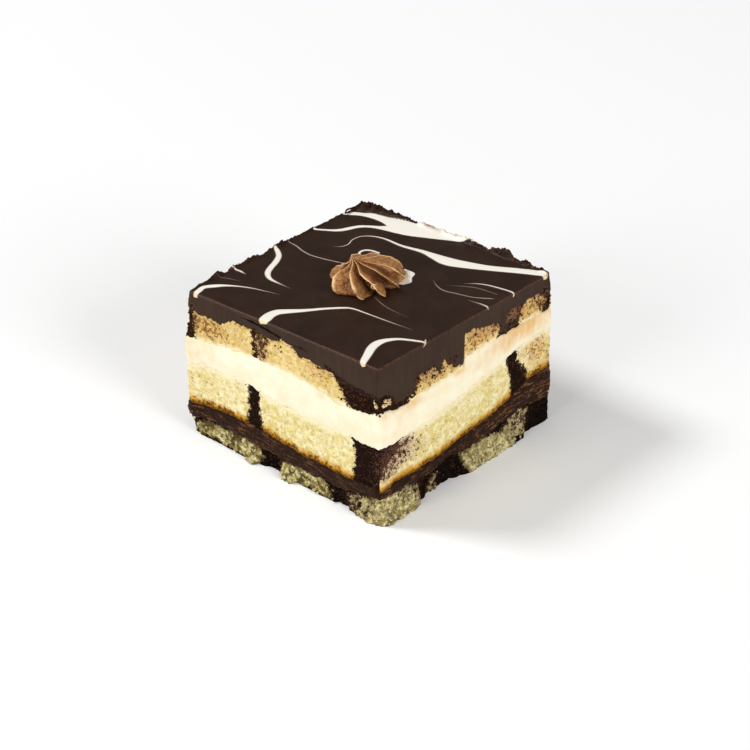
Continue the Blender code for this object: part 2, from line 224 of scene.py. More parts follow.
@dataclass(frozen=True)
class Block:
    """The cut block that the layers fill: cut a little askew, leaning in and higher in front."""

    base: Table = ((-53.4, -53.4), (51.3, -50.1), (54.2, 54.0), (-50.5, 51.5))
    top: Table = ((-52.5, -52.5), (49.8, -49.6), (52.6, 53.0), (-49.4, 50.8))
    heights: tuple[float, ...] = (70.4, 75.5, 73.2, 69.1)
    corner_radius: float = 1.4
    corner_blend: float = 0.008
    plan: float = 102.0
    rim_drop: float = 0.5
    rim_width: float = 0.9
    ridge: Table = (
        (1.95, 3.06, 0.1, 0.04, 1.1),
        (2.01, 2.3, 0.04, 0.08, 1.0),
        (2.24, 2.44, 0.06, 0.06, 0.6),
        (3.02, 3.28, 0.04, 0.06, 0.25),
        (3.22, 3.52, 0.06, 0.06, 0.5),
        (3.46, 3.98, 0.06, 0.1, 1.75),
    )
    ridge_inset: float = 2.6
    spread_height: float = 9.0
    heap: Table = (
        (0.0, 2.0, 4.5, 7.0, 9.5, 13.0, 22.0, 30.0, 34.0),
        (0.9, 1.1, 2.3, 1.0, 2.1, 1.4, 1.1, 0.7, 0.0),
    )
    heap_width: float = 9.5
    lip: Table = (
        (33.0, 36.5, 41.0, 46.0, 49.0, 52.0, 76.0, 81.0, 92.0, 99.0),
        (0.0, 0.3, 1.2, 1.8, 0.8, 0.0, 0.0, 1.4, 1.3, 0.0),
    )
    lip_width: float = 2.2
    swell_width: float = 0.06
    swell_run: float = 11.0
    left_swell: tuple[float, ...] = (2.2, 1.0, 57.0)
    upper_swell: tuple[float, ...] = (0.9, 44.0, 72.5)
    right_swell: tuple[float, ...] = (0.9, -9.0, 76.0)
    spread: Table = (
        (0.02, 0.38, 0.03, 0.02, 0.6),
        (0.29, 0.36, 0.02, 0.02, 1.4),
        (0.39, 0.48, 0.02, 0.02, -1.4),
        (0.48, 0.57, 0.02, 0.03, 2.0),
        (0.76, 0.84, 0.02, 0.02, -1.4),
        (0.85, 1.0, 0.03, 0.04, 0.9),
        (1.0, 1.23, 0.04, 0.03, 2.2),
        (1.25, 1.44, 0.03, 0.03, -1.6),
        (1.45, 1.86, 0.04, 0.04, 2.0),
        (2.1, 2.42, 0.04, 0.04, 1.8),
        (2.44, 2.6, 0.03, 0.03, -1.4),
        (2.64, 2.92, 0.04, 0.04, 1.3),
        (3.05, 3.32, 0.04, 0.04, 1.8),
        (3.34, 3.52, 0.03, 0.03, -1.4),
        (3.55, 3.86, 0.04, 0.04, 1.6),
    )

    def between(self, around: Array, values: tuple) -> Array:
        """A value given at the four corners, worked out evenly between them.

        Args:
            around: Places round the block.
            values: A number or a point for each corner.

        Returns:
            The value at each place.
        """
        table = np.asarray(values, float)
        corner = np.floor(around).astype(int) % SIDES
        share = around - np.floor(around)
        share = share[..., None] if table.ndim > 1 else share
        return table[corner] * (1.0 - share) + table[(corner + 1) % SIDES] * share

    def side_length(self, around: Array) -> Array:
        """Length at the base of the side that each place is on."""
        base = np.array(self.base)
        lengths = np.linalg.norm(np.roll(base, -1, axis=0) - base, axis=1)
        return lengths[np.floor(around).astype(int) % SIDES]

    def wall(self, around: Array, height: Array, outward: Array) -> Array:
        """Points on the cut faces.

        A point lies between its two corners, which lean from the base's to the top's, and is moved
        along the face's normal. Near a corner the normal is the mean of both faces' and the point
        moves in by (root of 2, less 1) times the radius, fading over one radius.

        Args:
            around: Places round the block.
            height: Heights.
            outward: How far the points stand out.

        Returns:
            Points, with x, y and z on the last axis.
        """
        share = (height / self.between(around, self.heights))[..., None]
        base, top = np.array(self.base), np.array(self.top)

        def corner(index: Array) -> Array:
            """The place of a numbered corner at each point's height."""
            return base[index % SIDES] * (1.0 - share) + top[index % SIDES] * share

        first = np.floor(around).astype(int)
        along = (around - first)[..., None]
        place = corner(first) * (1.0 - along) + corner(first + 1) * along
        nearest = np.where(along < 0.5, corner(first), corner(first + 1))
        from_corner = np.linalg.norm(place - nearest, axis=-1)
        out = np.zeros_like(place)
        for step in (-self.corner_blend, self.corner_blend):
            side = np.floor(around + step).astype(int)
            run = corner(side + 1) - corner(side)
            normal = np.stack((run[..., 1], -run[..., 0]), axis=-1)
            out += normal / np.linalg.norm(normal, axis=-1, keepdims=True)
        out /= np.linalg.norm(out, axis=-1, keepdims=True)
        near = np.maximum(0.0, 1.0 - from_corner / self.corner_radius)
        rounding = self.corner_radius * (math.sqrt(2.0) - 1.0) * near
        place = place + out * (outward - rounding)[..., None]
        return np.concatenate((place, height[..., None]), axis=-1)

    def face_offset(self, around: Array, height: Array) -> Array:
        """How far the whole wall stands out: the spread of the base, and the swollen corners.

        Args:
            around: Places round the block.
            height: Heights.

        Returns:
            Distances outwards.
        """
        offset = stretches(around, self.spread) * eased(1.0 - height / self.spread_height)
        from_left = np.minimum(around, SIDES - around) / self.swell_width
        from_right = (around - 2.0) / self.swell_width
        for reach, (swell, low, high) in (
            (from_left, self.left_swell),
            (from_left, self.upper_swell),
            (from_right, self.right_swell),
        ):
            rise = eased((height - low) / self.swell_run) * eased((high - height) / self.swell_run)
            offset = offset + swell * rise * np.exp(-(reach**2))
        return offset

    def plan_place(self, x: Array, y: Array) -> Array:
        """Spreads a square of the plan's size evenly over the top's four corners."""
        u, v = (x / self.plan)[..., None], (y / self.plan)[..., None]
        left, front, right, back = np.array(self.top)
        return (left * (1 - u) + front * u) * (1 - v) + (back * (1 - u) + right * u) * v

    def around_of(self, x: Array, y: Array) -> Array:
        """The place round the block that is nearest to a point of the plan.

        Args:
            x: The plan's x.
            y: The plan's y.

        Returns:
            Places round the block.
        """
        u, v = np.clip(x / self.plan, 0.0, 1.0), np.clip(y / self.plan, 0.0, 1.0)
        edges = np.stack((y, self.plan - x, self.plan - y, x))
        choices = np.stack((u, 1.0 + v, 3.0 - u, SIDES - v))
        return np.take_along_axis(choices, edges.argmin(axis=0)[None], axis=0)[0]

    def top_height(self, x: Array, y: Array) -> Array:
        """Height of the top: even between its corners, with a dropped rim and a crumbed back edge.

        The rim falls by the square of the distance into it. The ridge is a sum of windows along the
        two back edges times noise, and fades inwards by a smooth step. At the back corner a heap of
        crumb runs along the back-right edge: its height follows a table, and its width shrinks
        evenly. Further along the same edge a narrow lip stands up, also by a table.

        Args:
            x: The plan's x.
            y: The plan's y.

        Returns:
            Heights.
        """
        u, v = np.clip(x / self.plan, 0.0, 1.0), np.clip(y / self.plan, 0.0, 1.0)
        left, front, right, back = self.heights
        level = (left * (1 - u) + front * u) * (1 - v) + (back * (1 - u) + right * u) * v
        edge = np.minimum.reduce((x, self.plan - x, y, self.plan - y))
        rim = np.clip(1.0 - edge / self.rim_width, 0.0, 1.0) ** 2
        points = np.stack((x, y, np.zeros_like(x)), axis=-1)
        around = self.around_of(x, y)
        bump = 0.7 + 1.3 * Grain(Draw.RIDGE_BROAD).smooth(points, 5.0)
        bump = bump + 0.8 * Grain(Draw.RIDGE_FINE).layered(points, 1.8, 2)
        ridge = stretches(around, self.ridge) * np.maximum(0.0, bump)
        ridge = ridge * eased(1.0 - edge / self.ridge_inset)
        width = self.heap_width * np.maximum(1.0 - x / self.heap[0][-1], 0.0) + 0.01
        share = eased((y - self.plan + width) / (0.3 * width))
        rough = 0.85 + 0.7 * Grain(Draw.HEAP).layered(points, 2.4, 2)
        heap = np.interp(x, *self.heap) * share * np.maximum(0.2, rough)
        lip = np.interp(x, *self.lip) * rough * eased((y - self.plan) / self.lip_width + 1.0)
        waves = 0.10 * Grain(Draw.WAVES_BROAD).smooth(points, 14.0)
        waves = waves + 0.03 * Grain(Draw.WAVES_FINE).smooth(points, 3.5)
        return level + np.maximum.reduce((ridge, heap, lip)) + waves - self.rim_drop * rim

    def rim_place(self, around: Array, inset: float) -> tuple[Array, Array]:
        """A place of the plan, some way in from the rim.

        Args:
            around: Places round the block.
            inset: The distance from the rim.

        Returns:
            The plan's x and y.
        """
        edge = np.asarray(around % SIDES)
        side = np.floor(edge).astype(int)
        share = (edge - side) * self.plan
        far = np.full_like(share, self.plan - inset)
        near = np.full_like(share, inset)
        x = np.choose(side, (share, far, self.plan - share, near))
        y = np.choose(side, (near, share, far, self.plan - share))
        return x, y


@dataclass(frozen=True)
class Seam:
    """The line where two layers meet, and how ragged it is."""

    corners: tuple[float, ...]
    rises: Table
    ragged: float
    seed: int

    def height(self, block: Block, around: Array) -> Array:
        """Height of the seam on the cut faces: even between corners, plus its rises and noise.

        Args:
            block: The block that the seam runs round.
            around: Places round it.

        Returns:
            Heights.
        """
        level = block.between(around, self.corners) + stretches(around, self.rises)
        points = block.wall(around, level, np.zeros_like(around))
        points[..., 2] = 0.0
        grain = Grain(self.seed)
        rough = grain.layered(points, 3.2, 2) + 0.9 * grain.layered(points, 1.3, 2)
        return level + self.ragged * rough


# The top sponge has slipped at this place on the right face, and both of its seams step there.
SLIP = 1.485
SLIP_HALF = 0.004
FUDGE_BASE = Seam(
    (8.9, 13.0, 13.3, 12.0),
    (
        (0.0, 1.0, 0.8, 0.25, -3.3),
        (1.12, 1.38, 0.1, 0.06, -1.6),
        (1.44, 1.74, 0.06, 0.1, -2.0),
        (1.76, 1.92, 0.06, 0.06, 2.0),
        (2.15, 2.45, 0.1, 0.1, -2.0),
        (2.6, 2.9, 0.1, 0.1, 1.5),
        (3.2, 3.5, 0.1, 0.1, -1.8),
        (3.6, 3.8, 0.06, 0.06, 1.4),
    ),
    0.9,
    21,
)
FUDGE_TOP = Seam(
    (16.0, 17.0, 28.0, 22.0),
    (
        (0.1, 0.5, 0.12, 0.12, 1.2),
        (0.52, 0.97, 0.08, 0.1, -0.8),
        (0.97, 1.08, 0.02, 0.05, -1.5),
        (1.0, 1.9, 0.3, 0.4, -3.5),
        (1.55, 1.8, 0.1, 0.06, -1.0),
        (2.1, 2.4, 0.1, 0.1, -1.5),
        (2.5, 2.8, 0.1, 0.1, 1.2),
        (3.15, 3.4, 0.1, 0.1, 1.3),
        (3.5, 3.85, 0.1, 0.1, -1.2),
    ),
    0.35,
    22,
)
CREAM_BASE = Seam(
    (36.5, 38.2, 46.3, 41.0),
    (
        (0.2, 0.38, 0.06, 0.05, 1.4),
        (0.42, 0.8, 0.08, 0.08, -1.2),
        (0.86, 1.14, 0.03, 0.04, -1.1),
        (1.0, 1.75, 0.2, 0.4, -2.8),
        (1.76, 2.05, 0.06, 0.1, 1.4),
        (2.3, 2.6, 0.12, 0.12, -1.8),
        (3.1, 3.35, 0.08, 0.08, 1.6),
        (3.5, 3.9, 0.1, 0.1, -1.2),
    ),
    0.7,
    23,
)
CREAM_TOP = Seam(
    (48.5, 53.6, 56.4, 51.5),
    (
        (0.1, 0.72, 0.2, 0.2, 2.0),
        (0.72, 1.0, 0.06, 0.12, -2.2),
        (1.02, SLIP + SLIP_HALF, 0.08, 2 * SLIP_HALF, -2.7),
        (SLIP - SLIP_HALF, 1.95, 2 * SLIP_HALF, 0.4, 1.3),
        (2.15, 2.5, 0.1, 0.1, -2.0),
        (2.7, 2.95, 0.1, 0.1, 1.5),
        (3.2, 3.6, 0.1, 0.15, 1.8),
    ),
    0.5,
    24,
)
GANACHE_BASE = Seam(
    (61.8, 61.0, 65.0, 62.5),
    (
        (0.03, 0.22, 0.02, 0.05, -0.9),
        (0.16, 0.79, 0.09, 0.02, 3.9),
        (0.44, 0.575, 0.06, 0.02, 1.8),
        (0.575, 0.79, 0.02, 0.02, -1.7),
        (0.79, 1.03, 0.05, 0.03, -1.5),
        (1.04, 1.215, 0.03, 0.015, -7.0),
        (1.215, SLIP, 0.01, 0.01, -1.0),
        (1.31, 1.362, 0.03, 0.02, -3.8),
        (1.372, SLIP + SLIP_HALF, 0.025, 2 * SLIP_HALF, -4.3),
        (1.405, SLIP + SLIP_HALF, 0.03, 2 * SLIP_HALF, -3.2),
        (SLIP - SLIP_HALF, 1.7, 2 * SLIP_HALF, 0.18, 5.2),
        (1.685, 1.83, 0.015, 0.03, -6.3),
        (1.83, 1.96, 0.03, 0.03, 1.6),
        (2.12, 2.3, 0.03, 0.03, -5.0),
        (2.4, 2.75, 0.05, 0.08, 2.5),
        (2.8, 2.9, 0.02, 0.03, -4.5),
        (3.15, 3.5, 0.06, 0.06, 2.2),
        (3.55, 3.7, 0.03, 0.03, -5.5),
        (3.75, 3.93, 0.04, 0.04, 1.5),
    ),
    0.8,
    25,
)


@dataclass(frozen=True)
class Patch:
    """A patch on a cut face, outlined by points (distance along the side, height)."""

    side: Side
    outline: Table
    ragged: float = 0.7

    def depth(self, side: Array, along: Array, height: Array) -> Array:
        """How far inside the outline each point is.

        The distance to the nearest edge, taken as inside where a line to the right crosses an odd
        number of edges.

        Args:
            side: The number of the side that each point is on.
            along: Distances along the side.
            height: Heights.

        Returns:
            Distances, negative outside and on the other sides.
        """
        nearest = np.full(along.shape, FAR)
        odd = np.zeros(along.shape, bool)
        for (ax, az), (bx, bz) in zip(self.outline, self.outline[1:] + self.outline[:1]):
            run, climb = bx - ax, bz - az
            share = ((along - ax) * run + (height - az) * climb) / (run * run + climb * climb)
            share = np.clip(share, 0.0, 1.0)
            away = np.hypot(along - ax - share * run, height - az - share * climb)
            nearest = np.minimum(nearest, away)
            if climb:
                crosses = (az > height) != (bz > height)
                odd ^= crosses & (along < ax + (height - az) / climb * run)
        depth = np.where(odd, nearest, -nearest)
        return np.where(side == self.side.value, depth, -FAR)


@dataclass(frozen=True)
class Wash:
    """A soft tint on a cut face, strongest in its middle and gone at its reach."""

    side: Side
    middle: tuple[float, float]
    reach: tuple[float, float]
    strength: float

    def amount(self, side: Array, along: Array, height: Array) -> Array:
        """The tint's strength, falling off as a bell over both distances."""
        across = (along - self.middle[0]) / self.reach[0]
        up = (height - self.middle[1]) / self.reach[1]
        bell = self.strength * np.exp(-(across**2) - up**2)
        return np.where(side == self.side.value, bell, 0.0)


def washes(side: Side, *rows: tuple[float, ...]) -> tuple[Wash, ...]:
    """Makes the tints of one side from rows of (along, height, two reaches, strength)."""
    return tuple(Wash(side, row[:2], row[2:4], row[4]) for row in rows)


@dataclass(frozen=True)
class WallPoints:
    """The points of one layer's cut faces, as grids of rows by columns."""

    around: Array
    height: Array
    point: Array
    above: Array
    below: Array
    side: Array
    along: Array

    def inside(self, patches: tuple[Patch, ...], grain: Grain) -> Array:
        """How far inside any of the patches each point is, with ragged edges, within 6 mm.

        Args:
            patches: The patches.
            grain: The noise that makes their edges ragged.

        Returns:
            Distances, negative outside.
        """
        rough = grain.layered(self.point, 1.9, 3)
        deepest = np.full(self.height.shape, -DEEPEST)
        for patch in patches:
            depth = patch.depth(self.side, self.along, self.height) + patch.ragged * rough
            deepest = np.maximum(deepest, depth)
        return np.clip(deepest, -DEEPEST, DEEPEST)

    def washed(self, washes: tuple[Wash, ...]) -> Array:
        """The sum of some tints."""
        total = np.zeros(self.height.shape)
        for wash in washes:
            total += wash.amount(self.side, self.along, self.height)
        return np.clip(total, 0.0, 1.0)


class Shape:
    """Vertices, faces and values for one mesh, gathered in whole arrays."""

    def __init__(self) -> None:
        """Starts an empty shape."""
        self.points: list[Array] = []
        self.faces: list[Array] = []
        self.values: list[dict[str, Array]] = []
        self.count = 0

    def add(self, points: Array, **values: Array) -> Array:
        """Adds vertices.

        Args:
            points: Points in millimetres, with three coordinates on the last axis.
            **values: Named values, one for each vertex or one for all.

        Returns:
            The vertices' indices, laid out as the points are.
        """
        index = self.count + np.arange(points[..., 0].size).reshape(points.shape[:-1])
        self.points.append(points.reshape(-1, 3))
        flat = {name: np.broadcast_to(value, index.shape).ravel() for name, value in values.items()}
        self.values.append(flat)
        self.count += index.size
        return index

    def quads(self, grid: Array, closed: bool) -> None:
        """Joins rows by columns with faces that look out when the columns run anticlockwise."""
        after = np.roll(grid, -1, axis=1) if closed else grid[:, 1:]
        here = grid if closed else grid[:, :-1]
        faces = np.stack((here[:-1], after[:-1], after[1:], here[1:]), axis=-1)
        self.faces.append(faces.reshape(-1, 4))

    def close(self, ring: Array, end: Array, reverse: bool, **values: float) -> None:
        """Closes a ring to a new vertex.

        Args:
            ring: The ring's indices.
            end: The new vertex's place.
            reverse: Whether the faces turn the other way round.
            **values: Its named values.
        """
        pole = self.add(np.array([end]), **values)[0]
        after = np.roll(ring, -1)
        first, second = (after, ring) if reverse else (ring, after)
        self.faces.append(np.stack((first, second, np.full_like(ring, pole)), axis=-1))

    def tube(self, path: Array, radius: Array, sides: int = 8, **values: float) -> None:
        """Carries a ring of points along a path and closes it to a point at both ends.

        Each ring lies across the path: its first axis is level, and its second is square to both.

        Args:
            path: The path's points.
            radius: The ring's radius at each of them.
            sides: Points in a ring.
            **values: Named values for all vertices.
        """
        ahead = np.gradient(path, axis=0)
        ahead /= np.linalg.norm(ahead, axis=1, keepdims=True)
        level = np.cross(ahead, np.array((0.12, 0.2, 1.0)))
        level /= np.linalg.norm(level, axis=1, keepdims=True)
        square = np.cross(level, ahead)
        turn = 2.0 * math.pi * np.arange(sides) / sides
        ring = level[:, None] * np.cos(turn)[:, None] + square[:, None] * np.sin(turn)[:, None]
        grid = self.add(path[:, None] + ring * radius[:, None, None], **values)
        self.quads(grid[:, ::-1], True)
        self.close(grid[0], path[0], False, **values)
        self.close(grid[-1], path[-1], True, **values)

    def make(self, name: str, look: bpy.types.Material) -> bpy.types.Object:
        """Makes the object, smooth, in metres and at the origin.

        Args:
            name: The object's name.
            look: Its material.

        Returns:
            The new object, linked to the scene.
        """
        mesh = bpy.data.meshes.new(name)
        points = np.concatenate(self.points) * MM
        mesh.vertices.add(len(points))
        mesh.vertices.foreach_set("co", points.astype(np.float32).ravel())
        corners = np.concatenate([faces.ravel() for faces in self.faces])
        sizes = np.concatenate([np.full(len(f), f.shape[1]) for f in self.faces])
        mesh.loops.add(len(corners))
        mesh.loops.foreach_set("vertex_index", corners.astype(np.int32))
        mesh.polygons.add(len(sizes))
        mesh.polygons.foreach_set("loop_start", (np.cumsum(sizes) - sizes).astype(np.int32))
        mesh.update(calc_edges=True)
        mesh.polygons.foreach_set("use_smooth", np.ones(len(sizes), bool))
        for value in sorted({key for flat in self.values for key in flat}):
            both = zip(self.values, self.points)
            parts = [flat.get(value, np.zeros(len(part))) for flat, part in both]
            attribute = mesh.attributes.new(value, "FLOAT", "POINT")
            attribute.data.foreach_set("value", np.concatenate(parts).astype(np.float32))
        mesh.validate()
        mesh.materials.append(look)
        made = bpy.data.objects.new(name, mesh)
        bpy.context.scene.collection.objects.link(made)
        return made


def settle(made: bpy.types.Object, replaced: str | None = None) -> bpy.types.Object:
    """Hides the node that a piece replaces, gives the piece its body, and reports it.

    Args:
        made: The piece.
        replaced: The node that it stands for, if any.

    Returns:
        The piece.
    """
    if replaced:
        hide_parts(replaced)
    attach(made, BODY)
    LOG.info("%s: %d faces", made.name, len(made.data.polygons))
    return made


class Wire:
    """A value that a node gives, for use in sums and products."""

    def __init__(self, paint: "Paint", socket: bpy.types.NodeSocket) -> None:
        """Wraps a node's output.

        Args:
            paint: The material that the node belongs to.
            socket: The output.
        """
        self.paint = paint
        self.socket = socket

    def _math(self, operation: str, first: "Wire | float", second: "Wire | float") -> "Wire":
        """Adds one Math node."""
        made = self.paint.node("Math", {"operation": operation}, {0: first, 1: second})
        return Wire(self.paint, made.outputs[0])

    def __add__(self, other: "Wire | float") -> "Wire":
        """The sum."""
        return self._math("ADD", self, other)

    def __radd__(self, other: float) -> "Wire":
        """The sum."""
        return self._math("ADD", other, self)

    def __sub__(self, other: "Wire | float") -> "Wire":
        """The difference."""
        return self._math("SUBTRACT", self, other)

    def __rsub__(self, other: float) -> "Wire":
        """The difference from a number."""
        return self._math("SUBTRACT", other, self)

    def __mul__(self, other: "Wire | float") -> "Wire":
        """The product."""
        return self._math("MULTIPLY", self, other)

    def __rmul__(self, other: float) -> "Wire":
        """The product."""
        return self._math("MULTIPLY", other, self)

    def larger(self, other: "Wire | float") -> "Wire":
        """The larger of two values."""
        return self._math("MAXIMUM", self, other)

    def step(self, low: float, high: float) -> "Wire":
        """A smooth step from 0 at low to 1 at high."""
        sockets = {0: self, 1: low, 2: high, 3: 0.0, 4: 1.0}
        made = self.paint.node("MapRange", {"interpolation_type": "SMOOTHSTEP"}, sockets)
        return Wire(self.paint, made.outputs[0])


class Paint:
    """A material in the making."""

    def __init__(self, name: str, roughness: float, **constants: float) -> None:
        """Starts a material with one Principled shader.

        Args:
            name: The material's name.
            roughness: Roughness all over, until wired.
            **constants: Other sockets that are the same all over, spaces written as underscores.
        """
        self.material = bpy.data.materials.new(name)
        self.material.use_nodes = True
        self.tree = self.material.node_tree
        self.shader = self.tree.nodes["Principled BSDF"]
        self.shader.inputs["Roughness"].default_value = roughness
        for socket, value in constants.items():
            self.shader.inputs[socket.replace("_", " ")].default_value = value

    def node(self, kind: str, settings: dict, sockets: dict) -> bpy.types.Node:
        """Adds any node.

        Args:
            kind: The node's type, without the word ShaderNode.
            settings: Its properties, set first.
            sockets: Values or wires for its inputs, by name or number.

        Returns:
            The node.
        """
        made = self.tree.nodes.new("ShaderNode" + kind)
        for name, value in settings.items():
            setattr(made, name, value)
        for name, value in sockets.items():
            if isinstance(value, Wire):
                self.tree.links.new(value.socket, made.inputs[name])
            elif isinstance(value, tuple) and made.inputs[name].type == "RGBA":
                made.inputs[name].default_value = (*value, 1.0)
            else:
                made.inputs[name].default_value = value
        return made

    def place(self, stretch: tuple[float, ...]) -> Wire:
        """Object coordinates in millimetres, measured from the block's middle and stretched.

        Args:
            stretch: A share for each axis.

        Returns:
            The point.
        """
        source = Wire(self, self.node("TexCoord", {}, {}).outputs["Object"])
        scale = tuple(share / MM for share in stretch)
        middle = (0.0, 0.0, -HALF_HEIGHT * stretch[2])
        sockets = {"Vector": source, "Scale": scale, "Location": middle}
        return Wire(self, self.node("Mapping", {}, sockets).outputs[0])

    def noise(
        self, size: float, detail: float = 2.0, draw: float = 0.0,
        stretch: tuple[float, ...] = (1.0, 1.0, 1.0),
    ) -> Wire:
        """Noise from 0 to 1.

        Args:
            size: The size of its lumps in millimetres.
            detail: How many finer noises it sums.
            draw: Tells apart noises of one size.
            stretch: A share below 1 draws the lumps out along that axis.

        Returns:
            The value.
        """
        sockets = {"Vector": self.place(stretch), "W": draw, "Scale": 1.0 / size, "Detail": detail}
        sockets["Roughness"] = OCTAVE_SHARE
        return Wire(self, self.node("TexNoise", {"noise_dimensions": "4D"}, sockets).outputs[0])

    def value(self, name: str) -> Wire:
        """A value that the mesh carries at its vertices."""
        return Wire(self, self.node("Attribute", {"attribute_name": name}, {}).outputs["Fac"])

    def mix(self, share: Wire, first: "Wire | Colour", second: "Wire | Colour") -> Wire:
        """The first colour where the share is 0, and the second where it is 1."""
        sockets = {0: share, 6: first, 7: second}
        return Wire(self, self.node("Mix", {"data_type": "RGBA"}, sockets).outputs[2])

    def wire(self, socket: str, source: Wire) -> None:
        """Feeds one input of the shader."""
        self.tree.links.new(source.socket, self.shader.inputs[socket])

    def bump(self, height: Wire, depth: float) -> None:
        """Roughens the surface by a height from 0 to 1 that stands for a depth in millimetres."""
        sockets = {"Height": height, "Strength": 1.0, "Distance": depth * MM}
        self.wire("Normal", Wire(self, self.node("Bump", {}, sockets).outputs["Normal"]))


@dataclass(frozen=True)
class SpongeFinish:
    """Open crumb with toasted and browned parts, and chocolate where the mesh says so."""

    name: str
    # pale is a painted highlight; shade is painted shade in hollows, between clumps and at patch
    # edges; hole is painted shade in pits.
    pale: Colour
    body: Colour
    tint: Colour
    shade: Colour
    hole: Colour
    smeared: Colour = seen(252, 240, 204)
    toasted: Colour = seen(206, 154, 82)
    scorched: Colour = seen(104, 66, 32)
    stained: Colour = seen(212, 184, 154)
    crust: Colour = seen(210, 155, 52)
    crust_dark: Colour = seen(100, 62, 20)
    chocolate: Colour = seen(27, 15, 10)
    chocolate_light: Colour = seen(80, 48, 35)
    crust_height: float = 0.0
    smear_above: float = 0.0
    smear_below: float = 0.0
    toast_below: float = 0.0
    edge_shade: float = 0.0
    clump_light_and_shade: float = 0.0

    def crumb(self, paint: Paint, grain: Wire, fine: Wire) -> Wire:
        """Plain crumb: tinted blotches, painted highlights on lumps, painted shade in hollows and
        pores.

        Args:
            paint: The material.
            grain: Noise of about 1.3 mm.
            fine: Noise of about 0.6 mm.

        Returns:
            The colour.
        """
        blotch = paint.noise(4.2, 2.0, 9.0)
        crumb = paint.mix(blotch.step(0.42, 0.62) * 0.8, self.body, self.tint)
        lumps = paint.noise(2.0, 4.0, 5.0)
        # Painted highlight: the pale colour where lumps of noise stand high.
        painted_highlight = (lumps * 0.6 + grain * 0.2 + fine * 0.2).step(0.48, 0.60)
        crumb = paint.mix(painted_highlight, crumb, self.pale)
        # Painted shade in the hollows between lumps.
        hollow = 1.0 - (lumps * 0.35 + grain * 0.4 + fine * 0.25).step(0.38, 0.49)
        crumb = paint.mix(hollow * 0.85, crumb, self.shade)
        if self.clump_light_and_shade:
            # Painted shade between the clumps and a painted highlight on them.
            gaps = paint.noise(3.4, 4.0, 17.0)
            crumb = paint.mix((1.0 - gaps.step(0.42, 0.52)) * self.clump_light_and_shade, crumb, self.shade)
            crumb = paint.mix(gaps.step(0.56, 0.64) * self.clump_light_and_shade, crumb, self.pale)
        # Painted shade in the pores and pits that the mesh marks as cavity.
        cavity = (paint.value("cavity") + (fine - 0.5) * 0.9).step(0.25, 0.9)
        return paint.mix(cavity * 0.9, crumb, self.hole)

    def baked(self, paint: Paint, crumb: Wire, uneven: Wire, grain: Wire, fine: Wire) -> Wire:
        """The crumb with its toasted speckle and, on the layer that has one, its browned base.

        The speckle is gold with small scorched spots. The browned base is gold over a broken band,
        with burnt spots in the upper part of the band and a dark line under it.

        Args:
            paint: The material.
            crumb: The plain crumb.
            uneven: Noise in millimetres that breaks up the edges.
            grain: Noise of about 1.3 mm.
            fine: Noise of about 0.6 mm.

        Returns:
            The colour.
        """
        toast = paint.value("toast")
        if self.toast_below:
            reach = self.toast_below
            near = 1.0 - (paint.value("below") + uneven).step(0.3 * reach, reach)
            toast = toast.larger(near * 0.8)
        speckle = paint.noise(1.7, 4.0, 3.0)
        crumb = paint.mix(toast * 0.35, crumb, self.toasted)
        gold = (toast * 0.9 + (speckle - 0.5) * 3.8 + (fine - 0.5) * 1.4 - 0.45).step(0.0, 0.8)
        crumb = paint.mix(gold * toast.step(0.0, 0.3) * 0.7, crumb, self.toasted)
        spots = (paint.noise(1.4, 4.0, 14.0) + toast * 0.13 - 0.10).step(0.52, 0.60)
        crumb = paint.mix(spots * toast.step(0.1, 0.5) * 0.8, crumb, self.scorched)
        if not self.crust_height:
            return crumb
        burnt = paint.value("burnt")
        reach = paint.value("above") + uneven * 0.7
        glow = 1.0 - reach.step(0.45 * self.crust_height, 1.3 * self.crust_height)
        crumb = paint.mix(glow * (grain * 1.2 + 0.42), crumb, self.crust)
        band = 1.0 - (reach - burnt * 1.4).step(0.35 * self.crust_height, 0.85 * self.crust_height)
        patchy = paint.noise(5.0, 2.0, 27.0) * 0.3
        patchy = patchy + paint.noise(1.4, 4.0, 21.0) * 0.7
        spots = (patchy + burnt * 0.06 + (fine - 0.5) * 0.16).step(0.52, 0.57)
        crumb = paint.mix(band * spots * 0.95, crumb, self.crust_dark)
        line = 1.0 - (paint.value("above") + (grain - 0.5) * 3.0).step(0.8, 2.7)
        return paint.mix(line * 0.85, crumb, self.crust_dark)

    def make(self) -> bpy.types.Material:
        """Builds the material.

        Returns:
            The material.
        """
        paint = Paint(self.name, 0.9, Specular_IOR_Level=0.03)
        coarse = paint.noise(3.2, 3.0)
        grain = paint.noise(1.3, 3.0)
        fine = paint.noise(0.6, 2.0)
        uneven = (coarse - 0.5) * 5.0 + (grain - 0.5) * 4.0
        chocolate, mottle = paint.value("chocolate"), paint.value("mottle")
        crumb = self.crumb(paint, grain, fine)
        crumb = self.baked(paint, crumb, uneven, grain, fine)
        for edge, reach in (("above", self.smear_above), ("below", self.smear_below)):
            if reach:
                near = 1.0 - (paint.value(edge) + uneven).step(0.2 * reach, reach)
                crumb = paint.mix(near * 0.8, crumb, self.smeared)
        if self.edge_shade:
            near = (chocolate + uneven * 0.5).step(-self.edge_shade, 0.0)
            crumb = paint.mix(near * 0.6, crumb, self.shade)
        crumb = paint.mix(mottle.step(0.2, 0.9) * (fine * 2.6 - 0.6), crumb, self.stained)
        frayed = chocolate + (fine - 0.5) * 4.5 + (grain - 0.5) * 7.0
        clusters = paint.noise(1.6, 4.0, 33.0)
        flecks = (clusters * 0.6 + fine * 0.4 - 0.5) * 16.0 + mottle * 2.6 - 2.3
        soft = 1.0 - mottle.step(0.2, 1.0) * 0.6
        dark = (frayed.larger(flecks) * soft).step(-0.3, 0.3)
        light = (grain * 0.4 + fine * 0.6 + mottle * 0.11).step(0.53, 0.68)
        cocoa = paint.mix(light, self.chocolate, self.chocolate_light)
        paint.wire("Base Color", paint.mix(dark, crumb, cocoa))
        paint.bump(grain * 0.6 + fine * 0.7, 0.6)
        return paint.material


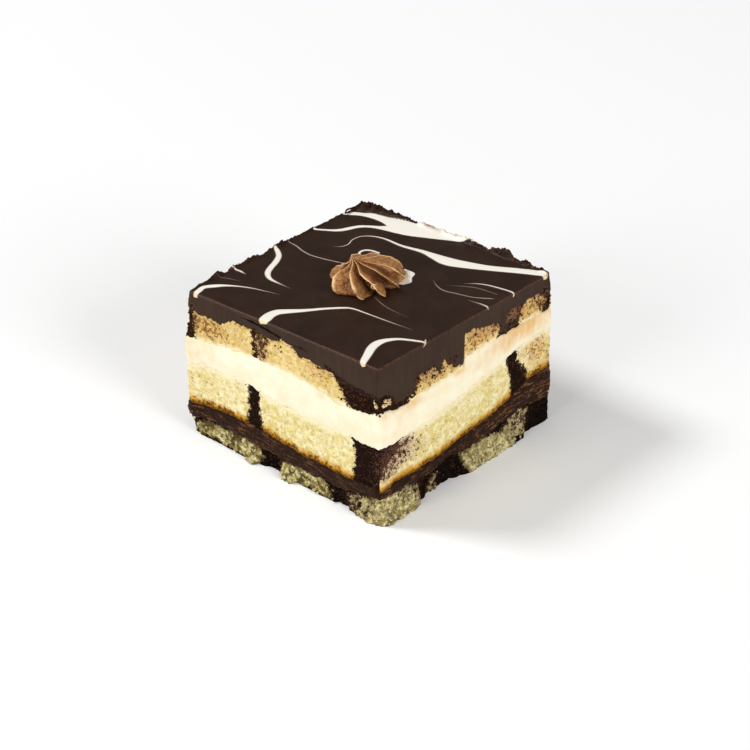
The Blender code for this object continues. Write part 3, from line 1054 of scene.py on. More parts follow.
@dataclass(frozen=True)
class FudgeFinish:
    """Dark fudge drawn out sideways by the knife."""

    dark: Colour = seen(40, 22, 12)
    light: Colour = seen(116, 78, 50)

    def make(self) -> bpy.types.Material:
        """Builds the material.

        Returns:
            The material.
        """
        paint = Paint("fudge_smear", 0.6, Specular_IOR_Level=0.06)
        drawn = paint.noise(0.8, 3.0, stretch=(0.16, 0.16, 1.0))
        broad = paint.noise(6.0, 2.0)
        fine = paint.noise(0.8, 2.0)
        share = (drawn * 0.5 + broad * 0.2 + fine * 0.3).step(0.50, 0.62)
        share = share * paint.value("smear")
        paint.wire("Base Color", paint.mix(share, self.dark, self.light))
        paint.wire("Roughness", 0.45 + drawn * 0.25)
        paint.bump(drawn * 0.8 + fine * 0.4, 0.35)
        return paint.material


@dataclass(frozen=True)
class CreamFinish:
    """Cream filling with faint peach streaks where the knife dragged crumb over it."""

    cream: Colour = seen(252, 244, 217)
    shade: Colour = seen(248, 234, 200)
    peach: Colour = seen(232, 186, 118)

    def make(self) -> bpy.types.Material:
        """Builds the material.

        Returns:
            The material.
        """
        paint = Paint("cream_filling", 0.5, Specular_IOR_Level=0.3)
        drawn = paint.noise(2.4, 4.0, stretch=(1.0, 1.0, 0.45))
        broad = paint.noise(7.0, 2.0)
        colour = paint.mix((broad + drawn * 0.4 - 0.2).step(0.3, 0.7), self.cream, self.shade)
        stain = paint.value("peach") * ((drawn * 0.5 + broad * 0.5 - 0.5) * 2.0 + 0.72)
        edge = (1.0 - paint.value("below").step(0.0, 1.6)) * 0.35
        colour = paint.mix(stain.larger(edge * drawn).step(0.0, 1.0), colour, self.peach)
        paint.wire("Base Color", colour)
        paint.bump(drawn * 0.6 + paint.noise(1.2, 2.0) * 0.3, 0.12)
        return paint.material


@dataclass(frozen=True)
class GanacheFinish:
    """Satin dark ganache: even on top, greyer on the cut, a painted rim highlight, crumbed patches.
    """

    top: Colour = seen(44, 29, 22)
    top_light: Colour = seen(55, 38, 29)
    cut: Colour = seen(54, 37, 26)
    cut_light: Colour = seen(61, 44, 32)
    # rim: painted highlight along the rounded rim.
    rim: Colour = seen(104, 70, 54)
    crumbed: Colour = seen(30, 17, 12)
    crumb_light: Colour = seen(92, 56, 42)
    blush: Colour = seen(134, 94, 68)
    # Painted shade in the cracks and pits.
    crack_shade: Colour = seen(14, 9, 7)

    def make(self) -> bpy.types.Material:
        """Builds the material.

        Returns:
            The material.
        """
        paint = Paint("satin_ganache", 0.4, Specular_IOR_Level=0.10)
        broad = paint.noise(11.0, 3.0)
        fine = paint.noise(0.8, 2.0)
        drawn = paint.noise(1.1, 2.0, stretch=(1.0, 1.0, 0.05)) * 0.5 + broad * 0.5
        top = paint.mix((broad * 0.7 + fine * 0.3).step(0.3, 0.7), self.top, self.top_light)
        cut = paint.mix(drawn.step(0.40, 0.60), self.cut, self.cut_light)
        on_cut = paint.value("cut").step(0.3, 0.9)
        colour = paint.mix(on_cut, top, cut)
        # Painted highlight: a lighter reddish line along the rim.
        rim = (1.0 - paint.value("from_rim").step(0.1, 0.75)) * fine.step(0.35, 0.6)
        colour = paint.mix(rim * 0.6, colour, self.rim)
        rubble = (paint.value("rubble") + (fine - 0.5) * 1.4).step(-0.2, 0.5)
        light = paint.mix(paint.value("blush"), self.crumb_light, self.blush)
        rough = paint.mix((fine + paint.value("blush") * 0.16).step(0.5, 0.66), self.crumbed, light)
        colour = paint.mix(rubble, colour, rough)
        # Painted shade in the cracks and in the pits near the base.
        crack_shade = (paint.value("crack") + (fine - 0.5) * 0.5).step(-0.1, 0.2)
        paint.wire("Base Color", paint.mix(crack_shade, colour, self.crack_shade))
        paint.wire("Roughness", 0.40 + on_cut * 0.16 + rubble * 0.25 + (broad - 0.5) * 0.12)
        paint.bump(fine * (0.12 + rubble * 0.9) + drawn * on_cut * 0.15, 0.3)
        return paint.material


@dataclass(frozen=True)
class SwirlFinish:
    """White chocolate drawn into the ganache: browner edges, peach at the cut, painted fold shade,
    tan tint.
    """

    white: Colour = seen(254, 249, 236)
    fringe: Colour = seen(158, 134, 120)
    ganache: Colour = seen(50, 34, 28)
    peach: Colour = seen(242, 212, 168)
    # Painted shadow of the raised fold at the back rim, partly a tan tint at its lip.
    smudge: Colour = seen(132, 92, 64)

    def make(self) -> bpy.types.Material:
        """Builds the material.

        Returns:
            The material.
        """
        paint = Paint("white_swirl", 0.42, Specular_IOR_Level=0.3)
        fine = paint.noise(0.9, 2.0)
        white = paint.mix(paint.value("peach").step(0.0, 1.0), self.white, self.peach)
        # Painted fold shadow near the back rim, partly a tan tint.
        white = paint.mix(paint.value("smudge") * (fine * 0.8 + 0.5), white, self.smudge)
        share = paint.value("white") + (fine - 0.5) * 0.12
        edge = paint.mix(share.step(0.0, 0.5), self.ganache, self.fringe)
        paint.wire("Base Color", paint.mix(share.step(0.3, 0.95), edge, white))
        return paint.material


@dataclass(frozen=True)
class RosetteFinish:
    """Soft piped chocolate cream, with painted highlight on its crests and painted shade in its
    hollows.
    """

    # valley and pit are painted shade; crest is a painted highlight.
    valley: Colour = seen(84, 44, 18)
    body: Colour = seen(178, 122, 68)
    speck_light: Colour = seen(208, 156, 102)
    speck_dark: Colour = seen(132, 82, 42)
    crest: Colour = seen(248, 204, 150)
    pit: Colour = seen(70, 40, 22)

    def make(self) -> bpy.types.Material:
        """Builds the material.

        Returns:
            The material.
        """
        paint = Paint("piped_cream", 0.55, Specular_IOR_Level=0.3)
        fine = paint.noise(0.9, 3.0)
        broad = paint.noise(5.0, 2.0)
        speck = paint.noise(1.3, 4.0, 3.0)
        body = paint.mix(speck.step(0.52, 0.64) * 0.6, self.body, self.speck_light)
        body = paint.mix((1.0 - speck.step(0.38, 0.48)) * 0.7, body, self.speck_dark)
        # Painted shade deep in the valleys between crests.
        low = (paint.value("valley") + (broad - 0.5) * 0.9 + (fine - 0.5) * 0.6).step(0.30, 1.05)
        body = paint.mix(low * 0.9, body, self.valley)
        # Painted highlight along the crests.
        crest = paint.value("crest") * (fine * 0.7 + 0.6)
        colour = paint.mix(crest.step(0.15, 0.9), body, self.crest)
        # Painted shade in the pits.
        colour = paint.mix(paint.value("cavity").step(0.2, 0.9) * 0.6, colour, self.pit)
        paint.wire("Base Color", colour)
        paint.bump(fine * 0.5 + speck * 0.5, 0.3)
        return paint.material


@dataclass(frozen=True)
class CrumbFinish:
    """One loose crumb's colour, mottled."""

    name: str
    light: Colour
    dark: Colour

    def make(self) -> bpy.types.Material:
        """Builds the material.

        Returns:
            The material.
        """
        paint = Paint(self.name, 0.85, Specular_IOR_Level=0.06)
        fine = paint.noise(0.7, 3.0)
        paint.wire("Base Color", paint.mix(fine.step(0.38, 0.6), self.dark, self.light))
        paint.bump(fine, 0.3)
        return paint.material


@dataclass(frozen=True)
class FloorFinish:
    """A plain pale floor."""

    colour: Colour = (0.9, 0.9, 0.9)

    def make(self) -> bpy.types.Material:
        """Builds the material.

        Returns:
            The material.
        """
        paint = Paint("pale_floor", 0.9, Specular_IOR_Level=0.1, Emission_Strength=0.12)
        paint.shader.inputs["Emission Color"].default_value = (1.0, 1.0, 1.0, 1.0)
        paint.shader.inputs["Base Color"].default_value = (*self.colour, 1.0)
        return paint.material


@dataclass
class CakeLayer:
    """One layer: its cut faces as a fine grid between two seams, closed by its flat faces."""

    name: str
    block: Block
    low: Seam | None
    high: Seam | None
    rows: int
    seed: int
    columns_a_side: int = 240
    bulge: float = 0.0
    overlap: float = 0.25
    tuck: float = 0.35
    tuck_run: float = 0.7
    inner_ring: float = 0.35
    inner_share: float = 0.3
    look: SpongeFinish | FudgeFinish | CreamFinish | GanacheFinish | None = None

    def relief(self, wall: WallPoints) -> Relief:
        """How far the cut face stands out, and the values that its finish reads.

        Args:
            wall: The layer's wall.

        Returns:
            The distances, and the named values.
        """
        raise NotImplementedError

    def top_row(self, around: Array) -> Array:
        """Height of the rim where the layer is the uppermost."""
        return self.block.top_height(*self.block.rim_place(around, 0.0))

    def wall(self) -> WallPoints:
        """Lays the grid of the cut faces between the seams.

        Returns:
            The wall's points.
        """
        around = np.arange(SIDES * self.columns_a_side) / self.columns_a_side
        block, low, high = self.block, self.low, self.high
        low = low.height(block, around) - self.overlap if low else np.zeros_like(around)
        high = high.height(block, around) + self.overlap if high else self.top_row(around)
        share = np.linspace(0.0, 1.0, self.rows + 1)[:, None]
        height = low + (high - low) * share
        turn = np.broadcast_to(around, height.shape)
        point = block.wall(turn, height, np.zeros_like(height))
        side = np.floor(turn).astype(int)
        along = (turn - side) * block.side_length(turn)
        return WallPoints(turn, height, point, height - low, high - height, side, along)

    def tucked(self, wall: WallPoints) -> Array:
        """How far the wall pulls in at its seams: a smooth step over the first and last stretch.

        Args:
            wall: The layer's wall.

        Returns:
            Distances inwards.
        """
        inwards = np.zeros(wall.height.shape)
        if self.low:
            inwards += self.tuck * (1.0 - eased(wall.above / self.tuck_run))
        if self.high:
            inwards += self.tuck * (1.0 - eased(wall.below / self.tuck_run))
        return inwards

    def build(self) -> bpy.types.Object:
        """Builds the layer and puts it in its node's place.

        Returns:
            The piece.
        """
        wall = self.wall()
        outward, values = self.relief(wall)
        share = np.linspace(0.0, 1.0, self.rows + 1)[:, None]
        outward = outward + self.bulge * 4.0 * share * (1.0 - share) - self.tucked(wall)
        outward += self.block.face_offset(wall.around, wall.height)
        points = self.block.wall(wall.around, wall.height, outward)
        shape = Shape()
        grid = shape.add(points, **values)
        shape.quads(grid, True)
        self.cap(shape, grid[0], points[0], self.low, False)
        self.close_top(shape, grid[-1], points[-1])
        return settle(shape.make(self.name + "_dressed", self.look.make()), self.name)

    def close_top(self, shape: Shape, ring: Array, rim: Array) -> None:
        """Closes the layer above."""
        self.cap(shape, ring, rim, self.high, True)

    def cap(self, shape: Shape, ring: Array, rim: Array, seam: Seam | None, up: bool) -> None:
        """Closes the layer with a ring and a middle point that near the seam's mean height.

        Args:
            shape: The layer's shape.
            ring: The indices of the wall's first or last row.
            rim: The points of that row.
            seam: The seam there, if the layer has one.
            up: Whether the face looks up.
        """
        mean = sum(seam.corners) / SIDES if seam else float(rim[:, 2].mean())
        middle = np.array(self.block.top).mean(axis=0)
        inner = rim.copy()
        inner[:, :2] += (middle - rim[:, :2]) * self.inner_ring
        inner[:, 2] = mean + (rim[:, 2] - mean) * self.inner_share
        inner_ring = shape.add(inner)
        rows = np.stack((ring, inner_ring) if up else (inner_ring, ring))
        shape.quads(rows, True)
        shape.close(inner_ring, (*middle, mean), not up)


@dataclass
class SpongeLayer(CakeLayer):
    """A layer of sponge with pores, tints, and patches of chocolate or of pale crumb."""

    patches: tuple[Patch, ...] = ()
    pale_patches: bool = False
    columns_a_side: int = 320
    toast: tuple[Wash, ...] = ()
    mottle: tuple[Wash, ...] = ()
    burnt: tuple[Wash, ...] = ()
    lump: float = 0.34
    lump_sizes: tuple[float, float] = (3.0, 1.2)
    hole: float = 0.85
    hole_size: float = 2.3
    hole_radii: tuple[float, float] = (0.35, 1.0)
    pores: float = 0.14
    small_hole: float = 0.4
    small_size: float = 1.4
    small_radii: tuple[float, float] = (0.35, 0.75)
    small_share: float = 0.5

    def relief(self, wall: WallPoints) -> Relief:
        """Crumb: layered noise, less large and small pits. Chocolate lies deeper and smoother.

        Args:
            wall: The layer's wall.

        Returns:
            The distances, and the named values.
        """
        grain = Grain(self.seed)
        broad, close = (grain.layered(wall.point, size, 2) for size in self.lump_sizes)
        lumps = broad + 1.1 * close
        warped = wall.point + 0.5 * grain.smooth(wall.point, 1.1)[..., None]
        holes = grain.pits(warped, self.hole_size, self.pores, self.hole_radii)
        small = grain.pits(warped + 11.0, self.small_size, self.small_share, self.small_radii)
        chocolate = wall.inside(self.patches, Grain(self.seed + 1))
        if self.pale_patches:
            chocolate = -chocolate
        inside = eased(chocolate / 0.9 + 0.5)
        crumb = self.lump * lumps - self.hole * holes - self.small_hole * small
        smooth = -0.35 + 0.5 * Grain(self.seed + 3).layered(wall.point, 1.5, 3)
        # cavity: depth in pits and low hollows, where the finish paints shade.
        cavity = np.clip(holes + 0.2 * small + np.maximum(0.0, -lumps - 0.6) * 0.5, 0.0, 1.0)
        values = {
            "cavity": cavity,
            "chocolate": chocolate,
            "toast": wall.washed(self.toast),
            "mottle": wall.washed(self.mottle),
            "burnt": wall.washed(self.burnt),
            "above": wall.above,
            "below": wall.below,
        }
        return crumb * (1.0 - inside) + smooth * inside, values


@dataclass
class FudgeLayer(CakeLayer):
    """The fudge, ridged along the faces where the knife drew it out."""

    look: FudgeFinish = FudgeFinish()
    smear: Table = (
        (0.0, 0.45, 0.6, 0.98, 1.02, 1.5, 1.7, 2.0, 4.0),
        (1.0, 0.9, 0.55, 0.5, 0.75, 0.75, 1.6, 1.6, 1.0),
    )

    def relief(self, wall: WallPoints) -> Relief:
        """Ridges: noise stretched ten times along the faces, plus a little even noise."""
        grain = Grain(self.seed)
        drawn = wall.point * np.array((0.12, 0.12, 1.0))
        ridges = 0.35 * grain.layered(drawn, 1.3, 2) + 0.18 * grain.layered(wall.point, 1.6, 3)
        return ridges, {"smear": np.interp(wall.around, *self.smear)}


@dataclass
class CreamLayer(CakeLayer):
    """The cream, wiped flat by the knife."""

    look: CreamFinish = CreamFinish()
    peach: tuple[Wash, ...] = ()

    def relief(self, wall: WallPoints) -> Relief:
        """Faint upright ridges: noise stretched upwards, plus broad unevenness."""
        grain = Grain(self.seed)
        drawn = wall.point * np.array((1.0, 1.0, 0.2))
        ridges = 0.08 * grain.layered(drawn, 2.2, 2) + 0.14 * grain.smooth(wall.point, 5.0)
        return ridges, {"peach": wall.washed(self.peach), "below": wall.below}


@dataclass
class GanacheLayer(CakeLayer):
    """The ganache: cut faces with cracks, pits and crumbed patches, and the flat top."""

    look: GanacheFinish = GanacheFinish()
    cracks: tuple[Patch, ...] = ()
    rubble: tuple[Patch, ...] = ()
    blush: tuple[Wash, ...] = ()
    fade_cells: int = 8

    def relief(self, wall: WallPoints) -> Relief:
        """A smooth cut with faint upright ridges, pits near its base, and open cracks.

        Args:
            wall: The layer's wall.

        Returns:
            The distances, and the named values.
        """
        grain = Grain(self.seed)
        drawn = wall.point * np.array((1.0, 1.0, 0.08))
        crack = wall.inside(self.cracks, Grain(self.seed + 1))
        rubble = wall.inside(self.rubble, Grain(self.seed + 2))
        low = 1.0 - eased((wall.above - 0.8) / 2.6)
        pits = grain.pits(wall.point, 1.7, 0.45, (0.4, 0.85)) * low
        outward = 0.03 * grain.layered(drawn, 1.6, 2) + 0.08 * grain.smooth(wall.point, 4.0)
        outward -= 0.7 * pits + 1.3 * eased(crack / 0.6 + 0.45)
        outward += 0.45 * grain.layered(wall.point, 1.5, 3) * eased(rubble / 0.8 + 0.5)
        # crack marks the cracks and the deeper pits, where the finish paints shade.
        values = {
            "cut": np.ones(wall.height.shape),
            "from_rim": wall.below,
            "crack": np.maximum(crack, 1.2 * pits - 0.75),
            "rubble": rubble,
            "blush": wall.washed(self.blush),
        }
        return outward, values

    def close_top(self, shape: Shape, ring: Array, rim: Array) -> None:
        """Lays the flat top as a square grid whose edge is the wall's top row.

        The grid is spread evenly over the top's corners. How far the rim departs from that is added
        to the points near it, and fades by a square over some cells.

        Args:
            shape: The layer's shape.
            ring: The indices of the wall's top row.
            rim: The points of that row.
        """
        count = self.columns_a_side
        step = np.arange(count + 1) * self.block.plan / count
        x, y = np.meshgrid(step, step, indexing="ij")
        plan = self.block.plan_place(x, y)
        rows = [slice(side * count, (side + 1) * count) for side in range(SIDES)]
        index = np.zeros((count + 1, count + 1), int)
        moved = np.zeros((count + 1, count + 1, 2))
        for grid, source in ((index, ring), (moved, rim[:, :2])):
            grid[:count, 0] = source[rows[0]]
            grid[count, :count] = source[rows[1]]
            grid[count:0:-1, count] = source[rows[2]]
            grid[0, count:0:-1] = source[rows[3]]
        fade = np.clip(1.0 - np.arange(count + 1) / self.fade_cells, 0.0, 1.0) ** 2
        back = fade[::-1]
        off = moved - plan
        shift = fade[None, :, None] * off[:, :1] + back[None, :, None] * off[:, -1:]
        shift = shift + fade[:, None, None] * off[:1] + back[:, None, None] * off[-1:]
        for rise, row in ((fade, 0), (back, -1)):
            for run, column in ((fade, 0), (back, -1)):
                shift = shift - rise[:, None, None] * run[None, :, None] * off[row, column]
        points = np.concatenate((plan + shift, self.block.top_height(x, y)[..., None]), axis=-1)
        inner = points[1:-1, 1:-1]
        edge = np.minimum.reduce((x, self.block.plan - x, y, self.block.plan - y))[1:-1, 1:-1]
        values = {"cut": 0.0, "from_rim": edge, "crack": -DEEPEST, "rubble": -DEEPEST, "blush": 0.0}
        index[1:-1, 1:-1] = shape.add(inner, **values)
        shape.quads(index[::-1], False)


@dataclass(frozen=True)
class Swirl:
    """A stroke of white chocolate: points (x, y, width) on the plan, and how white it is."""

    line: Table
    white: float = 1.0
    lift: float = 0.2
    peach_reach: float = 1.8

    def edges(self, step: float) -> tuple[Array, Array]:
        """The stroke's left edge and its right one: its line moved sideways by half its width.

        Args:
            step: The distance between points.

        Returns:
            The left edge and the right one.
        """
        path = smooth_line(self.line, step)
        ahead = np.gradient(path[:, :2], axis=0)
        ahead /= np.linalg.norm(ahead, axis=1, keepdims=True)
        across = np.stack((-ahead[:, 1], ahead[:, 0]), axis=1) * np.maximum(path[:, 2:], 0.05) / 2.0
        return path[:, :2] + across, path[:, :2] - across


@dataclass(frozen=True)
class Band:
    """A broad stroke between two edges, given by points (x, y) on the plan, the left one first."""

    near: Table
    far: Table
    white: float = 1.0
    lift: float = 0.2
    peach_reach: float = 1.8

    def edges(self, step: float) -> tuple[Array, Array]:
        """The two edges, with as many points each.

        Args:
            step: The distance between points.

        Returns:
            The left edge and the right one.
        """
        near, far = smooth_line(self.near, step), smooth_line(self.far, step)
        count = max(len(near), len(far))
        share = np.linspace(0.0, 1.0, count)
        resampled = []
        for edge in (near, far):
            own = np.linspace(0.0, 1.0, len(edge))
            resampled.append(np.column_stack([np.interp(share, own, row) for row in edge.T]))
        return resampled[0], resampled[1]


def smooth_line(points: Table, step: float) -> Array:
    """Draws a curve through points.

    Between two points it is the cubic whose slope at each is half the way between its neighbours.

    Args:
        points: The points, with any number of coordinates.
        step: The distance between the curve's own points.

    Returns:
        The curve's points.
    """
    given = np.array(points, float)
    chord = np.append(0.0, np.cumsum(np.linalg.norm(np.diff(given[:, :2], axis=0), axis=1)))
    samples = np.linspace(0.0, chord[-1], max(8, int(chord[-1] / step)))
    piece = np.clip(np.searchsorted(chord, samples, "right") - 1, 0, len(given) - 2)
    t = ((samples - chord[piece]) / (chord[piece + 1] - chord[piece]))[:, None]
    whole = np.vstack((2 * given[0] - given[1], given, 2 * given[-1] - given[-2]))
    a, b, c, d = (whole[piece + k] for k in range(4))
    slope, square, cube = c - a, 2 * a - 5 * b + 4 * c - d, 3 * b - a - 3 * c + d
    return 0.5 * (2 * b + slope * t + square * t**2 + cube * t**3)


@dataclass
class Swirls:
    """All the strokes of white chocolate on the ganache."""

    block: Block
    strokes: tuple[Swirl | Band, ...]
    fold_shade_and_tint_spots: tuple[tuple[tuple[float, float], tuple[float, float], float], ...]
    step: float = 0.45
    ring: int = 16
    wide_ring: int = 56
    wide: float = 5.0
    sunk: float = 0.3
    bed: float = 0.03
    crown_power: float = 0.6
    thin_crown: float = 0.35
    full_crown: float = 3.0
    soft_edge: float = 1.7
    edge_white: float = 0.12
    end_white: float = 0.3
    peach_start: float = 0.4

    def on_skin(self, place: Array, lift: Array) -> Array:
        """Lays points of the plan on the ganache.

        Inside the plan a point lies on the top. Beyond an edge it goes down the cut face by as much
        as it is beyond. The lift turns from upwards to outwards over the edge by a smooth step.

        Args:
            place: Points of the plan, x and y on the last axis.
            lift: How far they stand off the ganache.

        Returns:
            Points in space.
        """
        x, y = place[..., 0], place[..., 1]
        plan = self.block.plan
        over = np.maximum.reduce((-x, x - plan, -y, y - plan))
        inside_x, inside_y = np.clip(x, 0.0, plan), np.clip(y, 0.0, plan)
        height = self.block.top_height(inside_x, inside_y)
        around = self.block.around_of(x, y) % SIDES
        level = self.block.plan_place(inside_x, inside_y)
        top = np.concatenate((level, height[..., None]), axis=-1)
        down = height - np.maximum(over, 0.0)
        offset = self.block.face_offset(around, down)
        side = self.block.wall(around, down, offset)
        outwards = self.block.wall(around, down, offset + 1.0) - side
        base = np.where((over > 0.0)[..., None], side, top)
        turn = eased(over + 0.5)[..., None]
        normal = np.array((0.0, 0.0, 1.0)) * (1.0 - turn) + outwards * turn
        return base + normal * lift[..., None]

    def add(self, shape: Shape, stroke: Swirl | Band) -> None:
        """Adds one stroke: a flat ring of points carried along it, closed to a point at both ends.

        Round the ring, the place across the stroke is a cosine. The height is the crown times a
        power of the sine above, and sinks into the ganache by the sine below.

        Args:
            shape: The shape that holds the strokes.
            stroke: The stroke.
        """
        first, second = stroke.edges(self.step)
        width = np.linalg.norm(second - first, axis=1)[:, None]
        count = self.wide_ring if width.max() > self.wide else self.ring
        turn = 2.0 * math.pi * np.arange(count) / count
        across, rise = np.cos(turn), np.sin(turn)
        share = ((across + 1.0) / 2.0)[None, :, None]
        place = first[:, None] * (1.0 - share) + second[:, None] * share
        crown = stroke.lift * np.minimum(1.0, self.thin_crown + width / self.full_crown)
        above = crown * np.abs(rise) ** self.crown_power
        lift = np.where(rise >= 0.0, above - self.bed, -self.sunk * np.abs(rise) - self.bed)
        points = self.on_skin(place, lift)
        plan = self.block.plan
        x, y = place[..., 0], place[..., 1]
        inwards = np.minimum.reduce((x, plan - x, y, plan - y))
        peach = eased(1.0 - (inwards + self.peach_start) / stroke.peach_reach)
        soft = eased((1.0 - np.abs(across)) * width / self.soft_edge + self.edge_white)
        # Painted fold shadow and tan tint, summed over the spots.
        smudge = sum(
            strength * np.exp(-(((x - mid[0]) / reach[0]) ** 2) - ((y - mid[1]) / reach[1]) ** 2)
            for mid, reach, strength in self.fold_shade_and_tint_spots
        )
        grid = shape.add(points, white=stroke.white * soft, peach=peach, smudge=smudge)
        shape.quads(grid[:, ::-1], True)
        white = self.end_white * stroke.white
        for ring, ends, reverse in ((grid[0], points[0], False), (grid[-1], points[-1], True)):
            shape.close(ring, ends.mean(axis=0), reverse, white=white, peach=0.0, smudge=0.0)

    def build(self) -> bpy.types.Object:
        """Builds the strokes as one piece.

        Returns:
            The piece.
        """
        shape = Shape()
        for stroke in self.strokes:
            self.add(shape, stroke)
        return settle(shape.make("white_swirls", SwirlFinish().make()))


@dataclass
class Rosette:
    """The piped star: crested rings that shrink, turn and lean towards its tip."""

    block: Block
    centre: tuple[float, float] = (-1.2, 0.3)
    radius: float = 17.0
    height: float = 12.4
    rise: float = 3.6
    sharpness: float = 1.3
    lean: tuple[float, float] = (-2.9, -6.4)
    lean_power: float = 3.5
    foot: float = 0.07
    foot_height: float = 0.06
    sway: float = 0.13
    uneven: float = 0.6
    columns_a_crest: int = 36
    rows: int = 96
    levels: tuple[float, ...] = (0.0, 0.15, 0.3, 0.45, 0.6, 0.75, 0.9)
    curl_place: tuple[float, float, float] = (11.2, -9.3, 78.2)
    curl_radius: float = 0.95
    curl_thickness: float = 0.34
    curl_across: tuple[float, float, float] = (0.74, 0.67, 0.0)
    curl_points: int = 24
    crest_width: float = 0.042
    crest_rise: float = 0.85
    bedding: float = 0.05
    # A crest's angle at each level, reach and hollow, and then its valley's depth at the base,
    # depth above and roundness.
    crests: tuple[tuple[tuple[float, ...], float, float, float, float, float], ...] = (
        ((184, 186, 190, 198, 212, 237, 263), 1.10, 0.40, 0.16, 0.26, 1.6),
        ((266, 264, 262, 260, 259, 263, 276), 1.03, -0.07, 0.12, 0.24, 1.8),
        ((312, 306, 301, 297, 290, 286, 291), 1.05, -0.10, 0.32, 0.40, 1.3),
        ((340, 337, 333, 325, 319, 309, 313), 1.02, -0.05, 0.32, 0.40, 0.85),
        ((366, 363, 359, 355, 352, 347, 337), 0.94, 0.06, 0.17, 0.29, 0.85),
        ((403, 398, 391, 386, 388, 383, 368), 0.97, 0.14, -0.05, 0.13, 1),
        ((432, 430, 430, 432, 436, 438, 410), 0.98, 0.12, 0.06, 0.16, 1.2),
        ((467, 466, 465, 464, 466, 468, 450), 1.02, 0.26, 0.20, 0.26, 1.5),
        ((505, 503, 502, 503, 507, 515, 525), 1.05, 0.38, 0.20, 0.26, 1.5),
    )

    def floor(self, place: Array) -> Array:
        """Height of the top near its middle, as a plane.

        Args:
            place: Places, with x and y on the last axis.

        Returns:
            Heights.
        """
        top = np.array(self.block.top)
        heights = np.array(self.block.heights)
        sides = np.roll(top, -1, axis=0) - top
        climbs = np.roll(heights, -1) - heights
        slope_x = (climbs[0] - climbs[2]) / (sides[0][0] - sides[2][0])
        slope_y = (climbs[1] - climbs[3]) / (sides[1][1] - sides[3][1])
        offset = place - top.mean(axis=0)
        return heights.mean() + slope_x * offset[..., 0] + slope_y * offset[..., 1]

    def build(self) -> bpy.types.Object:
        """Builds the rosette.

        The radius falls from the base to the tip as (1 less the share to the power of the rise) to
        the power of the sharpness. Between crests it is less by a power of the sine of the way
        across. A crest adds a narrow bell, and noise roughens the whole.

        Returns:
            The piece.
        """
        columns = len(self.crests) * self.columns_a_crest
        column = (np.arange(columns) / self.columns_a_crest)[None, :]
        share = np.linspace(0.0, 1.0, self.rows + 1)[:-1, None]
        angles = np.array([crest[0] for crest in self.crests])
        angles = np.vstack((angles, angles[:1] + 360.0))
        near = np.floor(column).astype(int)
        way = column - near
        rows = np.array([np.interp(share[:, 0], self.levels, line) for line in angles])
        angle = rows[near[0]].T * (1.0 - way) + rows[near[0] + 1].T * way
        sizes = np.array([crest[1:] for crest in (*self.crests, self.crests[0])])
        reach, hollow, softest = (
            sizes[near, item] * (1.0 - way) + sizes[near + 1, item] * way for item in (0, 1, 4)
        )
        depth = sizes[near, 2] + (sizes[near, 3] - sizes[near, 2]) * eased(share / 0.5)
        radius = self.radius * (1.0 - share**self.rise) ** self.sharpness
        radius = radius * (1.0 + (reach - 1.0) * (1.0 - share))
        radius = radius * (1.0 - hollow * 4.0 * share * (1.0 - share))
        radius = radius * (1.0 - self.foot * np.exp(-share / self.foot_height))
        soft = 0.75 + (softest - 0.75) * eased(1.0 - share / 0.35)
        between = np.abs(np.sin(math.pi * column)) ** soft
        radius = radius * (1.0 - depth * between)
        from_crest = np.abs(column - np.round(column))
        crest = np.exp(-((from_crest / self.crest_width) ** 2))
        crest = crest * (0.45 + 0.55 * eased(share / 0.2))
        turned = np.radians(angle)
        unit = np.stack((np.cos(turned), np.sin(turned), np.zeros_like(turned)), axis=-1)
        rise = self.height * share * np.ones_like(column)
        plain = unit * radius[..., None] + np.stack((0 * rise, 0 * rise, rise), axis=-1)
        grain = Grain(Draw.ROSETTE_SWAY)
        turned = turned + self.sway * grain.smooth(plain, 3.6) * (1.0 - share**2)
        unit = np.stack((np.cos(turned), np.sin(turned), np.zeros_like(turned)), axis=-1)
        pits = grain.pits(plain, 2.4, 0.5, (0.35, 0.85)) * (1.0 - crest)
        rough = self.uneven * Grain(Draw.ROSETTE_BROAD).smooth(plain, 4.0)
        rough = rough + 0.45 * Grain(Draw.ROSETTE_ROUGH).layered(plain, 1.7, 3)
        rough = rough + (0.15 + 0.35 * between) * Grain(Draw.ROSETTE_FINE).layered(plain, 0.95, 2)
        radius = radius + (rough - 0.8 * pits + self.crest_rise * crest) * (1.0 - share**6)
        lean = np.array(self.lean) * (share**self.lean_power)[..., None]
        place = np.array(self.centre) + lean + unit[..., :2] * radius[..., None]
        floor = self.floor(place) + self.bedding
        points = np.concatenate((place, (floor + self.height * share)[..., None]), axis=-1)
        shape = Shape()
        # crest carries the painted highlight; valley and cavity carry the painted shade.
        grid = shape.add(points, crest=crest, valley=between * depth / 0.3, cavity=pits)
        shape.quads(grid, True)
        base = np.array(self.centre)
        tip = base + np.array(self.lean)
        shape.close(grid[-1], (*tip, self.floor(tip) + self.height), False, crest=1.0)
        shape.close(grid[0], (*base, self.floor(base)), True)
        self.curl(shape)
        return settle(shape.make("rosette_dressed", RosetteFinish().make()), "rosette")

    def curl(self, shape: Shape) -> None:
        """Adds the small curl at the front: a tube round most of a circle, thickest half way.

        Args:
            shape: The rosette's shape.
        """
        turn = (np.linspace(0.2, 1.9, self.curl_points) * math.pi)[:, None]
        ring = np.cos(turn) * np.array(self.curl_across) + np.sin(turn) * np.array((0.0, 0.0, 1.0))
        path = np.array(self.curl_place) + self.curl_radius * ring
        taper = np.sin(np.linspace(0.5, 2.6, self.curl_points))
        shape.tube(path, self.curl_thickness * taper, crest=0.8, valley=0.0, cavity=0.0)


@dataclass(frozen=True)
class Scatter:
    """Loose crumbs on a stretch of wall, or of the top where no height is given.

    On a wall the depth is how far they are sunk in it, and on the top how far in from the rim.
    """

    around: tuple[float, float]
    height: tuple[float, float] | None
    count: int
    size: tuple[float, float]
    depth: tuple[float, float] = (-0.2, -0.2)


